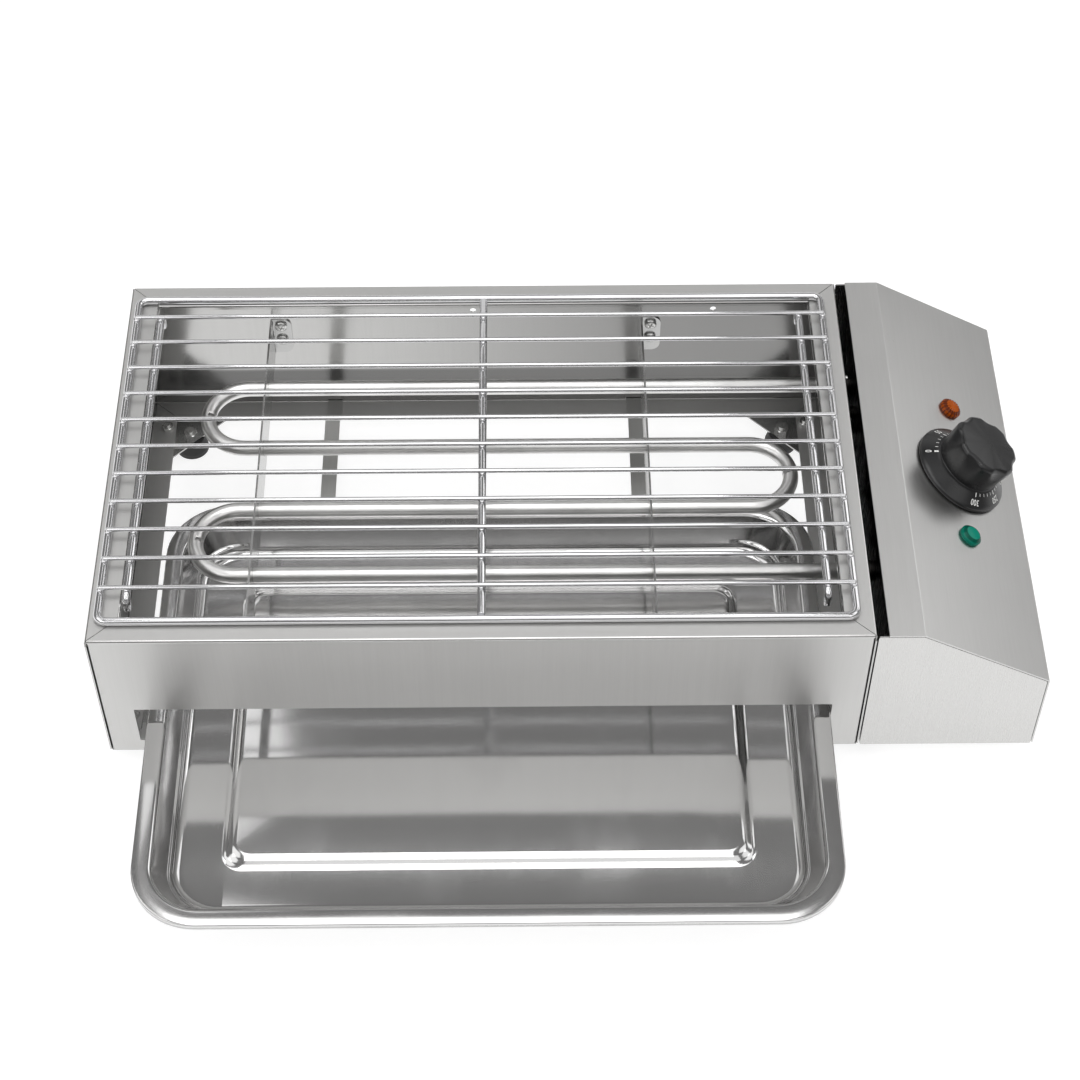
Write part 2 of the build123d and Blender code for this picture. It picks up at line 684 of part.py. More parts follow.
def element_support(strip_x):
    """Upright strip with bent ears that stands across the box under the element."""
    strip = X_LEFT + strip_x
    front_y = Y_FRONT + SHEET + SUPPORT_SHEET / 2
    back_y = Y_BACK - SHEET - SUPPORT_SHEET / 2
    low = Z_TOP - SUPPORT_TOP_DOWN - SUPPORT_TALL
    section = bent_sheet(
        up(low),
        [(strip + SUPPORT_EAR, front_y), (strip, front_y), (strip, back_y), (strip + SUPPORT_EAR, back_y)],
        SUPPORT_SHEET,
        SUPPORT_SHEET,
    )
    with BuildPart() as support:
        extrude(section, amount=SUPPORT_TALL)
        ear_corners = support.edges().filter_by(Axis.Y).group_by(Axis.X)[-1]
        fillet(ear_corners, SUPPORT_EAR_ROUND)
        with BuildSketch(across(strip - SUPPORT_SHEET)) as passes:
            with Locations(*[(y, TUBE_Z) for y in TUBE_PASSES]):
                Circle(TUBE_DIAMETER / 2 + TUBE_HOLE_CLEARANCE)
        extrude(passes.sketch, amount=2 * SUPPORT_SHEET, mode=Mode.SUBTRACT)
        with BuildSketch(along(Y_BACK)) as holes:
            with Locations(*support_screw_places()):
                Circle(SUPPORT_SCREW / 2 + HOLE_CLEARANCE)
        extrude(holes.sketch, amount=SHEET + SUPPORT_SHEET, mode=Mode.SUBTRACT)
    return support.part


# Left element support
with BuildPart() as left_element_support:
    add(element_support(SUPPORT_LEFT))
left_element_support.part.label = "left_element_support"
export_step(left_element_support.part, "parts/left_element_support.step")

# Right element support
with BuildPart() as right_element_support:
    add(element_support(SUPPORT_RIGHT))
right_element_support.part.label = "right_element_support"
export_step(right_element_support.part, "parts/right_element_support.step")

# Screws with heads inside the box and nuts outside the back panel
with BuildPart() as support_screws:
    for x, z in support_screw_places():
        seat = Plane(origin=(x, Y_BACK - SHEET - SUPPORT_SHEET, z), z_dir=(0, -1, 0))
        length = SHEET + SUPPORT_SHEET + SUPPORT_SCREW * NUT_TALL + THREAD_SHOWING
        add(pan_screw(seat, SUPPORT_SCREW, length))
support_screws.part.label = "support_screws"
export_step(support_screws.part, "parts/support_screws.step")

with BuildPart() as support_nuts:
    for x, z in support_screw_places():
        add(hex_nut(Plane(origin=(x, Y_BACK, z), z_dir=(0, 1, 0)), SUPPORT_SCREW))
support_nuts.part.label = "support_nuts"
export_step(support_nuts.part, "parts/support_nuts.step")

# Straps that the tray slides on, laid on the front hem and ramped down at the back
with BuildPart() as tray_straps:
    flat_z = STRAP_TOP - STRAP_SHEET / 2
    low_z = Z_BOTTOM + SHEET + STRAP_SHEET / 2
    for side in (-1, 1):
        strap_x = BODY_X + STRAP_SHIFT + side * STRAP_SPREAD / 2 - STRAP_WIDTH / 2
        strap = bent_sheet(
            across(strap_x),
            [
                (Y_BACK - BEND_OUTSIDE, low_z),
                (Y_BACK - STRAP_RAMP_START, low_z),
                (Y_BACK - STRAP_RAMP_END, flat_z),
                (Y_FRONT + BEND_OUTSIDE, flat_z),
            ],
            STRAP_SHEET,
            STRAP_BEND,
        )
        extrude(strap, amount=STRAP_WIDTH)
tray_straps.part.label = "tray_straps"
export_step(tray_straps.part, "parts/tray_straps.step")


def tray_outline(z, inset, corner):
    """Rounded rectangle of the tray, this far inside its outer edge."""
    with BuildSketch(up(z)) as outline:
        with Locations((TRAY_X, TRAY_Y)):
            RectangleRounded(TRAY_WIDTH - 2 * inset, TRAY_LENGTH - 2 * inset, corner)
    return outline.sketch


def floor_panel(z, inset):
    """Rounded rectangle of the raised floor panel, this far inside its outer line."""
    border = TRAY_RIM + TRAY_DRAFT + inset
    with BuildSketch(up(z)) as outline:
        with Locations((TRAY_X, TRAY_Y)):
            RectangleRounded(
                TRAY_WIDTH - 2 * (border + PANEL_MARGIN_X),
                TRAY_LENGTH - 2 * (border + PANEL_MARGIN_Y),
                PANEL_CORNER - inset / 2,
            )
    return outline.sketch


# Drip tray: drawn pan with sloping walls, flat rim, turned-down lip and raised floor panel
with BuildPart() as drip_tray:
    extrude(tray_outline(TRAY_TOP - TRAY_LIP, 0, TRAY_CORNER), amount=TRAY_LIP)
    lip_outline = tray_outline(TRAY_TOP - TRAY_LIP, TRAY_SHEET, TRAY_CORNER - TRAY_SHEET)
    extrude(lip_outline, amount=TRAY_LIP - TRAY_SHEET, mode=Mode.SUBTRACT)
    wall_top = TRAY_RIM - TRAY_SHEET
    wall_bottom = TRAY_RIM + TRAY_DRAFT - TRAY_SHEET
    loft([
        tray_outline(TRAY_BOTTOM, wall_bottom, TRAY_BOTTOM_CORNER + TRAY_SHEET),
        tray_outline(TRAY_TOP, wall_top, TRAY_MOUTH_CORNER + TRAY_SHEET),
    ])
    fillet(drip_tray.faces().sort_by(Axis.Z)[0].edges(), TRAY_FLOOR_ROUND)
    with BuildPart(mode=Mode.PRIVATE) as hollow:
        loft([
            tray_outline(TRAY_BOTTOM + TRAY_SHEET, wall_bottom + TRAY_SHEET, TRAY_BOTTOM_CORNER),
            tray_outline(TRAY_TOP, wall_top + TRAY_SHEET, TRAY_MOUTH_CORNER),
        ])
        fillet(hollow.faces().sort_by(Axis.Z)[0].edges(), TRAY_FLOOR_ROUND - TRAY_SHEET)
    add(hollow.part, mode=Mode.SUBTRACT)
    floor_top = TRAY_BOTTOM + TRAY_SHEET
    loft([floor_panel(floor_top, 0), floor_panel(floor_top + PANEL_RISE, PANEL_STEP)])
    loft(
        [floor_panel(TRAY_BOTTOM, 0), floor_panel(TRAY_BOTTOM + PANEL_RISE, PANEL_STEP)],
        mode=Mode.SUBTRACT,
    )
drip_tray.part.label = "drip_tray"
export_step(drip_tray.part, "parts/drip_tray.step")


def wire_along(points, diameter, bend, closed=False):
    """Round wire bent along these points."""
    with BuildPart() as wire:
        with BuildLine() as route:
            FilletPolyline(*points, radius=bend, close=closed)
        path = Wire(route.edges())
        with BuildSketch(Plane(origin=path @ 0, z_dir=path % 0)) as section:
            Circle(diameter / 2)
        sweep(section.sketch, path=path)
    return wire.part


# Rack: outer loop lying on the top flanges
LOOP_Z = Z_TOP + RACK_LIFT + LOOP_WIRE / 2
LOOP_X = (X_LEFT + LOOP_LEFT, X_SEAM - LOOP_RIGHT)
LOOP_Y = (Y_FRONT + LOOP_FRONT, Y_BACK - LOOP_BACK)
with BuildPart() as rack_outer_wire:
    loop_points = [
        (LOOP_X[0], LOOP_Y[0], LOOP_Z),
        (LOOP_X[1], LOOP_Y[0], LOOP_Z),
        (LOOP_X[1], LOOP_Y[1], LOOP_Z),
        (LOOP_X[0], LOOP_Y[1], LOOP_Z),
    ]
    add(wire_along(loop_points, LOOP_WIRE, LOOP_CORNER, closed=True))
rack_outer_wire.part.label = "rack_outer_wire"
export_step(rack_outer_wire.part, "parts/rack_outer_wire.step")

# Rack: three wires from front to back; the outer two hook down into the opening
LONG_Z = LOOP_Z + (LOOP_WIRE - LONG_WIRE) / 2
HOOK_INSET = END_TOP_FLANGE + SHEET / 2 + HOOK_CLEARANCE + LONG_WIRE / 2
with BuildPart() as rack_long_wires:
    with BuildSketch(along(LOOP_Y[0] + LOOP_WIRE / 2)) as middle:
        with Locations((BODY_X, LONG_Z)):
            Circle(LONG_WIRE / 2)
    extrude(middle.sketch, amount=-(LOOP_Y[1] - LOOP_Y[0] - LOOP_WIRE))
    for x in (LOOP_X[0] + LONG_SIDE_INSET, LOOP_X[1] - LONG_SIDE_INSET):
        hooked = [
            (x, Y_FRONT + HOOK_INSET, LONG_Z - HOOK_DROP),
            (x, Y_FRONT + HOOK_INSET, LONG_Z),
            (x, Y_BACK - HOOK_INSET, LONG_Z),
            (x, Y_BACK - HOOK_INSET, LONG_Z - HOOK_DROP),
        ]
        add(wire_along(hooked, LONG_WIRE, HOOK_BEND))
rack_long_wires.part.label = "rack_long_wires"
export_step(rack_long_wires.part, "parts/rack_long_wires.step")

# Rack: cross wires welded on top of the others
CROSS_Z = LOOP_Z + (LOOP_WIRE + CROSS_WIRE) / 2
CROSS_PITCH = (BODY_DEPTH - CROSS_FRONT - CROSS_BACK) / (CROSS_COUNT - 1)
with BuildPart() as rack_cross_wires:
    with BuildSketch(across(LOOP_X[0] - CROSS_OVERHANG)) as ends:
        with Locations(*[(Y_FRONT + CROSS_FRONT + n * CROSS_PITCH, CROSS_Z) for n in range(CROSS_COUNT)]):
            Circle(CROSS_WIRE / 2)
    extrude(ends.sketch, amount=LOOP_X[1] - LOOP_X[0] + 2 * CROSS_OVERHANG)
rack_cross_wires.part.label = "rack_cross_wires"
export_step(rack_cross_wires.part, "parts/rack_cross_wires.step")


def slope_corners(inset):
    """Upper and lower corners of the control box outline, this far inside its outer faces."""
    upper = (X_SEAM + CONTROL_TOP - inset * tan(SLOPE_ANGLE / 2), Z_TOP - inset)
    lower_turn = pi / 2 - SLOPE_ANGLE
    lower = (X_RIGHT - inset, Z_TOP - SLOPE_DROP - inset * tan(lower_turn / 2))
    return [upper, lower]


def on_slope(down, sideways, out=0.0, outward=True):
    """Plane on the slope of the control box, measured from its middle."""
    origin = SLOPE_MIDDLE + SLOPE_DOWN * down + Vector(0, sideways, 0) + SLOPE_OUT * out
    return Plane(origin=origin, x_dir=SLOPE_DOWN, z_dir=SLOPE_OUT if outward else -SLOPE_OUT)


def base_screw_places():
    """Centres of the screws through the base: three for the cover, two for the terminal block."""
    cover_x = X_RIGHT - COVER_BOTTOM_FLANGE / 2 - SHEET
    cover = [(cover_x, y) for y in (Y_FRONT + COVER_SCREW_INSET, BODY_Y, Y_BACK - COVER_SCREW_INSET)]
    block = [(BLOCK_PLACE[0], BLOCK_PLACE[1] + side * BLOCK_SCREW_SPREAD / 2) for side in (-1, 1)]
    return cover + block


BLOCK_PLACE = (X_SEAM + BLOCK_FROM_SEAM, Y_BACK - BLOCK_FROM_BACK)
EARTH_PLACE = (X_SEAM + EARTH_FROM_SEAM, Y_BACK - EARTH_FROM_BACK)
GLAND_PLACE = (X_SEAM + GLAND_FROM_SEAM, Z_BOTTOM + GLAND_UP)

# Control box chassis: base, front and back plates with narrow flanges under the cover
with BuildPart() as control_chassis:
    left = X_SEAM + CONTROL_SEAM
    inset = SHEET + COVER_CLEARANCE
    with BuildSketch(along(Y_FRONT)) as outline:
        corners = [(left, Z_BOTTOM), (left, Z_TOP - inset)] + slope_corners(inset)
        Polygon(*corners, (X_RIGHT - inset, Z_BOTTOM), align=None)
    extrude(outline.sketch, amount=-BODY_DEPTH)
    fillet(control_chassis.edges().filter_by(Axis.Y), CORNER_ROUND)
    with BuildSketch(along(Y_FRONT + SHEET)) as inside:
        corners = [
            (left + SHEET, Z_BOTTOM + SHEET),
            (left + SHEET, Z_TOP - inset - SHEET),
        ] + slope_corners(inset + SHEET)
        Polygon(*corners, (X_RIGHT - inset - SHEET, Z_BOTTOM + SHEET), align=None)
    extrude(inside.sketch, amount=-(BODY_DEPTH - 2 * SHEET), mode=Mode.SUBTRACT)
    with BuildSketch(up(Z_BOTTOM + SHEET)) as open_middle:
        with Locations(((left + X_RIGHT) / 2, BODY_Y)):
            Rectangle(CONTROL_LENGTH + 2 * SHEET, BODY_DEPTH - 2 * CHASSIS_FLANGE)
    extrude(open_middle.sketch, amount=BODY_HEIGHT, mode=Mode.SUBTRACT)
    with BuildSketch(up(Z_TOP)) as slot:
        with Locations(((left + X_COVER) / 2, BODY_Y)):
            Rectangle(X_COVER - left, BODY_DEPTH - 2 * SHEET)
    extrude(slot.sketch, amount=-CHASSIS_FLANGE, mode=Mode.SUBTRACT)
    with BuildSketch(along(Y_BACK)) as cord_hole:
        with Locations(GLAND_PLACE):
            Circle(GLAND_THREAD / 2 + HOLE_CLEARANCE)
    extrude(cord_hole.sketch, amount=SHEET, mode=Mode.SUBTRACT)
    with BuildSketch(up(Z_BOTTOM)) as drilled:
        with Locations(*base_screw_places()):
            Circle(BASE_SCREW / 2 + HOLE_CLEARANCE)
        with Locations(EARTH_PLACE):
            Circle(EARTH_SCREW / 2 + HOLE_CLEARANCE)
    extrude(drilled.sketch, amount=SHEET, mode=Mode.SUBTRACT)
control_chassis.part.label = "control_chassis"
export_step(control_chassis.part, "parts/control_chassis.step")

# Cover of the control box: flat strip, slope and right side in one bent sheet
FOLD_SPAN = BODY_DEPTH - 2 * (CHASSIS_FLANGE + SHEET)
with BuildPart() as control_cover:
    skin = bent_sheet(
        along(Y_FRONT),
        [(X_COVER, Z_TOP - SHEET / 2)]
        + slope_corners(SHEET / 2)
        + [(X_RIGHT - SHEET / 2, Z_BOTTOM + SHEET)],
    )
    extrude(skin, amount=-BODY_DEPTH)
    with BuildSketch(along(BODY_Y - FOLD_SPAN / 2)) as fold:
        with Locations((X_COVER + SHEET / 2, Z_TOP - COVER_FOLD / 2)):
            Rectangle(SHEET, COVER_FOLD)
        with Locations((X_RIGHT - COVER_BOTTOM_FLANGE / 2, Z_BOTTOM + SHEET * 1.5)):
            Rectangle(COVER_BOTTOM_FLANGE, SHEET)
    extrude(fold.sketch, amount=-FOLD_SPAN)
    fillet(control_cover.edges().filter_by(Axis.Y).group_by(Axis.X)[0].group_by(Axis.Z)[-1], CORNER_ROUND / 2)
    with BuildSketch(on_slope(0, 0)) as front_holes:
        Circle(SHAFT_DIAMETER / 2 + SHAFT_HOLE_CLEARANCE)
        with Locations((0, LAMP_SPREAD), (0, -LAMP_SPREAD)):
            Circle(LAMP_STEM / 2 + HOLE_CLEARANCE)
        with Locations((0, THERMOSTAT_SCREW_SPREAD / 2), (0, -THERMOSTAT_SCREW_SPREAD / 2)):
            Circle(THERMOSTAT_SCREW / 2 + HOLE_CLEARANCE)
    extrude(front_holes.sketch, amount=-SHEET, mode=Mode.SUBTRACT)
    with BuildSketch(up(Z_BOTTOM + SHEET)) as cover_holes:
        with Locations(*base_screw_places()[:3]):
            Circle(BASE_SCREW / 2 + HOLE_CLEARANCE)
    extrude(cover_holes.sketch, amount=SHEET, mode=Mode.SUBTRACT)
control_cover.part.label = "control_cover"
export_step(control_cover.part, "parts/control_cover.step")

# Inner wall between the vent slot and the wiring space
BULB_Z = Z_TOP - BULB_DOWN
CAPILLARY_Y = BODY_Y + BULB_LENGTH / 2 + CAPILLARY_PAST
with BuildPart() as control_inner_wall:
    wall_x = X_INNER_WALL - SHEET / 2
    flange_x = X_INNER_WALL + WALL_FLANGE
    wall_front = Y_FRONT + SHEET * 1.5
    wall_back = Y_BACK - SHEET * 1.5
    upright = bent_sheet(
        up(Z_BOTTOM + SHEET),
        [(flange_x, wall_front), (wall_x, wall_front), (wall_x, wall_back), (flange_x, wall_back)],
    )
    extrude(upright, amount=BODY_HEIGHT - 3 * SHEET - 2 * COVER_CLEARANCE)
    foot = bent_sheet(
        along(Y_FRONT + 2 * BEND_OUTSIDE + SHEET),
        [
            (wall_x, Z_BOTTOM + SHEET + 3 * BEND),
            (wall_x, Z_BOTTOM + SHEET * 1.5),
            (flange_x, Z_BOTTOM + SHEET * 1.5),
        ],
    )
    extrude(foot, amount=-(BODY_DEPTH - 2 * (2 * BEND_OUTSIDE + SHEET)))
    with BuildSketch(across(X_INNER_WALL)) as holes:
        with Locations(*[(y, TUBE_Z) for y in ELEMENT_ENDS]):
            Circle(BUSH_DIAMETER / 2 + HOLE_CLEARANCE)
        with Locations(*JOINING_PLACES):
            Circle(JOINING_SCREW / 2 + HOLE_CLEARANCE)
        with Locations((CAPILLARY_Y, BULB_Z)):
            Circle(CAPILLARY_HOLE / 2)
    extrude(holes.sketch, amount=-SHEET, mode=Mode.SUBTRACT)
control_inner_wall.part.label = "control_inner_wall"
export_step(control_inner_wall.part, "parts/control_inner_wall.step")

# Threaded standoffs riveted to the right side panel; they keep the slot open
with BuildPart() as joining_standoffs:
    for y, z in JOINING_PLACES:
        seat = Plane(origin=(X_SEAM, y, z), z_dir=(1, 0, 0))
        add(ring(seat, STANDOFF_DIAMETER, JOINING_SCREW, X_INNER_WALL - SHEET - X_SEAM))
        add(ring(seat.offset(-SHEET), STANDOFF_RIVET, JOINING_SCREW, SHEET))
joining_standoffs.part.label = "joining_standoffs"
export_step(joining_standoffs.part, "parts/joining_standoffs.step")

with BuildPart() as joining_screws:
    for y, z in JOINING_PLACES:
        seat = Plane(origin=(X_INNER_WALL, y, z), z_dir=(1, 0, 0))
        add(pan_screw(seat, JOINING_SCREW, SHEET + JOINING_REACH))
joining_screws.part.label = "joining_screws"
export_step(joining_screws.part, "parts/joining_screws.step")

# Screws through the base from below
with BuildPart() as base_screws:
    for x, y in base_screw_places():
        seat = Plane(origin=(x, y, Z_BOTTOM), z_dir=(0, 0, -1))
        add(pan_screw(seat, BASE_SCREW, 2 * SHEET + BASE_SCREW_REACH))
base_screws.part.label = "base_screws"
export_step(base_screws.part, "parts/base_screws.step")

# Terminal block for the supply wires
with BuildPart() as terminal_block:
    long, wide, tall = BLOCK_SIZE
    with BuildSketch(up(Z_BOTTOM + SHEET)) as block:
        with Locations(BLOCK_PLACE):
            Rectangle(wide, long)
    extrude(block.sketch, amount=tall)
    with BuildSketch(up(Z_BOTTOM + SHEET + tall)) as wells:
        with Locations(BLOCK_PLACE):
            with GridLocations(wide / 2, long / BLOCK_WELL_ROWS, 2, BLOCK_WELL_ROWS):
                Circle(BLOCK_WELL / 2)
    extrude(wells.sketch, amount=-BLOCK_WELL_DEEP, mode=Mode.SUBTRACT)
    with BuildSketch(up(Z_BOTTOM + SHEET)) as pilot:
        with Locations(*base_screw_places()[3:]):
            Circle(BASE_SCREW / 2)
    extrude(pilot.sketch, amount=BLOCK_WELL_DEEP, mode=Mode.SUBTRACT)
terminal_block.part.label = "terminal_block"
export_step(terminal_block.part, "parts/terminal_block.step")

# Earth screw and nut on the base
with BuildPart() as earth_screw:
    seat = Plane(origin=(*EARTH_PLACE, Z_BOTTOM), z_dir=(0, 0, -1))
    add(pan_screw(seat, EARTH_SCREW, SHEET + EARTH_SCREW * NUT_TALL + THREAD_SHOWING))
earth_screw.part.label = "earth_screw"
export_step(earth_screw.part, "parts/earth_screw.step")

with BuildPart() as earth_nut:
    add(hex_nut(Plane(origin=(*EARTH_PLACE, Z_BOTTOM + SHEET)), EARTH_SCREW))
earth_nut.part.label = "earth_nut"
export_step(earth_nut.part, "parts/earth_nut.step")

# Cord bush in the back plate and its nut inside
with BuildPart() as cord_bush:
    axis_x, axis_z = GLAND_PLACE
    with BuildSketch(Plane(origin=(axis_x, Y_BACK, axis_z))) as profile:
        with BuildLine():
            Polyline(
                (GLAND_BORE / 2, -GLAND_THREAD_LENGTH),
                (GLAND_THREAD / 2, -GLAND_THREAD_LENGTH),
                (GLAND_THREAD / 2, 0),
                (GLAND_DIAMETER / 2, 0),
                (GLAND_DIAMETER / 2, GLAND_FLANGE),
                (GLAND_NOSE / 2, GLAND_OUT),
                (GLAND_BORE / 2, GLAND_OUT),
                close=True,
            )
        make_face()
    revolve(profile.sketch, axis=Axis((axis_x, Y_BACK, axis_z), (0, 1, 0)))
cord_bush.part.label = "cord_bush"
export_step(cord_bush.part, "parts/cord_bush.step")

with BuildPart() as cord_bush_nut:
    seat = Plane(origin=(axis_x, Y_BACK - SHEET, axis_z), z_dir=(0, -1, 0))
    add(hex_nut(seat, GLAND_THREAD, GLAND_NUT_FLATS, GLAND_NUT_TALL))
cord_bush_nut.part.label = "cord_bush_nut"
export_step(cord_bush_nut.part, "parts/cord_bush_nut.step")

# Thermostat body with its mounting plate, held behind the slope by two screws
with BuildPart() as thermostat_body:
    with BuildSketch(on_slope(0, 0, -SHEET)) as plate:
        Rectangle(THERMOSTAT_SIZE, THERMOSTAT_BRACKET)
        Circle(SHAFT_DIAMETER / 2 + SHAFT_RUN, mode=Mode.SUBTRACT)
        with Locations((0, THERMOSTAT_SCREW_SPREAD / 2), (0, -THERMOSTAT_SCREW_SPREAD / 2)):
            Circle(THERMOSTAT_SCREW / 2, mode=Mode.SUBTRACT)
    extrude(plate.sketch, amount=-THERMOSTAT_BRACKET_THICK)
    with BuildSketch(on_slope(0, 0, -SHEET - THERMOSTAT_BRACKET_THICK)) as case:
        RectangleRounded(THERMOSTAT_SIZE, THERMOSTAT_SIZE, THERMOSTAT_CORNER)
        Circle(SHAFT_DIAMETER / 2 + SHAFT_RUN, mode=Mode.SUBTRACT)
        with Locations((0, THERMOSTAT_SCREW_SPREAD / 2), (0, -THERMOSTAT_SCREW_SPREAD / 2)):
            Circle(THERMOSTAT_SCREW / 2, mode=Mode.SUBTRACT)
    extrude(case.sketch, amount=-THERMOSTAT_DEEP / 2)
    with BuildSketch(on_slope(0, 0, -SHEET - THERMOSTAT_BRACKET_THICK - THERMOSTAT_DEEP / 2)) as back_case:
        RectangleRounded(THERMOSTAT_SIZE, THERMOSTAT_SIZE, THERMOSTAT_CORNER)
    extrude(back_case.sketch, amount=-THERMOSTAT_DEEP / 2)
thermostat_body.part.label = "thermostat_body"
export_step(thermostat_body.part, "parts/thermostat_body.step")

with BuildPart() as thermostat_screws:
    for side in (-1, 1):
        seat = on_slope(0, side * THERMOSTAT_SCREW_SPREAD / 2)
        add(pan_screw(seat, THERMOSTAT_SCREW, SHEET + THERMOSTAT_BRACKET_THICK + THREAD_SHOWING))
thermostat_screws.part.label = "thermostat_screws"
export_step(thermostat_screws.part, "parts/thermostat_screws.step")

# Turning shaft of the thermostat with a flat for the knob
with BuildPart() as thermostat_shaft:
    shaft_foot = -SHEET - THERMOSTAT_BRACKET_THICK - THERMOSTAT_DEEP / 2 + SHAFT_FOOT_GAP
    with BuildSketch(on_slope(0, 0, shaft_foot)) as round_part:
        Circle(SHAFT_DIAMETER / 2)
    extrude(round_part.sketch, amount=KNOB_HOLLOW_DEEP - shaft_foot)
    with BuildSketch(on_slope(0, 0, KNOB_HOLLOW_DEEP)) as flat_part:
        Circle(SHAFT_DIAMETER / 2)
        with Locations((SHAFT_DIAMETER / 2, 0)):
            Rectangle(2 * SHAFT_FLAT, SHAFT_DIAMETER, mode=Mode.SUBTRACT)
    extrude(flat_part.sketch, amount=SHAFT_REACH - KNOB_HOLLOW_DEEP)
thermostat_shaft.part.label = "thermostat_shaft"
export_step(thermostat_shaft.part, "parts/thermostat_shaft.step")

# Sensing bulb in the slot, with the fine tube that joins it to the thermostat
BULB_X = X_SEAM + BULB_DIAMETER / 2 + BULB_GAP
with BuildPart() as thermostat_bulb:
    bulb_end = BODY_Y + BULB_LENGTH / 2
    with BuildSketch(Plane(origin=(BULB_X, BODY_Y - BULB_LENGTH / 2, BULB_Z), z_dir=(0, 1, 0))) as bulb:
        Circle(BULB_DIAMETER / 2)
    extrude(bulb.sketch, amount=BULB_LENGTH)
    case_back = -SHEET - THERMOSTAT_BRACKET_THICK - THERMOSTAT_DEEP
    entry = on_slope(0, CAPILLARY_SIDE, case_back).origin
    rise = (entry.Z - BULB_Z) / SLOPE_OUT.Z
    turn = entry - SLOPE_OUT * rise
    tube_route = [
        (entry.X, entry.Y, entry.Z),
        (turn.X, turn.Y, BULB_Z),
        (turn.X, CAPILLARY_Y, BULB_Z),
        (BULB_X, CAPILLARY_Y, BULB_Z),
        (BULB_X, bulb_end, BULB_Z),
    ]
    add(wire_along(tube_route, CAPILLARY_DIAMETER, CAPILLARY_BEND))
thermostat_bulb.part.label = "thermostat_bulb"
export_step(thermostat_bulb.part, "parts/thermostat_bulb.step")

# Clips that hold the bulb to the right side panel
with BuildPart() as bulb_clips:
    for y in (BODY_Y - BULB_LENGTH / 4, BODY_Y + BULB_LENGTH / 4):
        with BuildSketch(along(y - CLIP_WIDTH / 2)) as clip:
            with Locations((BULB_X, BULB_Z)):
                Circle(BULB_DIAMETER / 2 + CLIP_SHEET)
            with Locations((X_SEAM + CLIP_SHEET / 2, BULB_Z)):
                Rectangle(CLIP_SHEET, BULB_DIAMETER + 2 * CLIP_FOOT)
            with Locations((BULB_X, BULB_Z)):
                Circle(BULB_DIAMETER / 2, mode=Mode.SUBTRACT)
            with Locations((X_SEAM - CLIP_FOOT, BULB_Z)):
                Rectangle(2 * CLIP_FOOT, BULB_DIAMETER + 4 * CLIP_FOOT, mode=Mode.SUBTRACT)
        extrude(clip.sketch, amount=-CLIP_WIDTH)
bulb_clips.part.label = "bulb_clips"
export_step(bulb_clips.part, "parts/bulb_clips.step")

# Thermostat knob: bevelled dial skirt and a grip with seven scallops
with BuildPart() as thermostat_knob:
    section_plane = Plane(origin=SLOPE_MIDDLE, x_dir=SLOPE_DOWN, z_dir=(0, -1, 0))
    skirt = KNOB_SKIRT / 2
    grip_top = KNOB_GRIP_TOP / 2
    with BuildSketch(section_plane) as profile:
        with BuildLine():
            Polyline(
                (0, KNOB_HOLLOW_DEEP),
                (KNOB_HOLLOW / 2, KNOB_HOLLOW_DEEP),
                (KNOB_HOLLOW / 2, KNOB_SKIRT_LIFT),
                (skirt, KNOB_SKIRT_LIFT),
                (skirt, KNOB_SKIRT_LIFT + KNOB_LIP),
                (KNOB_GRIP_BASE / 2 + KNOB_BEVEL_STEP, KNOB_BEVEL_TOP),
                (KNOB_GRIP_BASE / 2, KNOB_BEVEL_TOP),
                (grip_top, KNOB_HEIGHT - KNOB_EDGE),
            )
            RadiusArc((grip_top, KNOB_HEIGHT - KNOB_EDGE), (grip_top - KNOB_EDGE, KNOB_HEIGHT), KNOB_EDGE)
            Line((grip_top - KNOB_EDGE, KNOB_HEIGHT), (0, KNOB_HEIGHT + KNOB_CROWN))
            Line((0, KNOB_HEIGHT + KNOB_CROWN), (0, KNOB_HOLLOW_DEEP))
        make_face()
    revolve(profile.sketch, axis=Axis(SLOPE_MIDDLE, SLOPE_OUT))
    for n in range(KNOB_LOBES):
        angle = radians(KNOB_FIRST_VALLEY + 360 / KNOB_LOBES * n)
        outwards = SLOPE_DOWN * cos(angle) + Vector(0, sin(angle), 0)
        reach = grip_top - SCALLOP_DEPTH + SCALLOP_RADIUS
        top = SLOPE_MIDDLE + outwards * reach + SLOPE_OUT * (KNOB_HEIGHT + SCALLOP_OVER)
        lean = radians(SCALLOP_LEAN)
        down_axis = outwards * sin(lean) - SLOPE_OUT * cos(lean)
        with BuildSketch(Plane(origin=top, z_dir=down_axis)) as scallop:
            Circle(SCALLOP_RADIUS)
        extrude(scallop.sketch, amount=KNOB_HEIGHT - KNOB_BEVEL_TOP, mode=Mode.SUBTRACT)
    with BuildSketch(on_slope(0, 0, KNOB_HOLLOW_DEEP)) as bore:
        Circle(SHAFT_DIAMETER / 2 + SHAFT_FIT)
        with Locations((SHAFT_DIAMETER / 2 + SHAFT_FIT, 0)):
            Rectangle(2 * SHAFT_FLAT, SHAFT_DIAMETER + 4 * SHAFT_FIT, mode=Mode.SUBTRACT)
    extrude(bore.sketch, amount=SHAFT_REACH - KNOB_HOLLOW_DEEP + 2 * SHAFT_FIT, mode=Mode.SUBTRACT)
thermostat_knob.part.label = "thermostat_knob"
export_step(thermostat_knob.part, "parts/thermostat_knob.step")


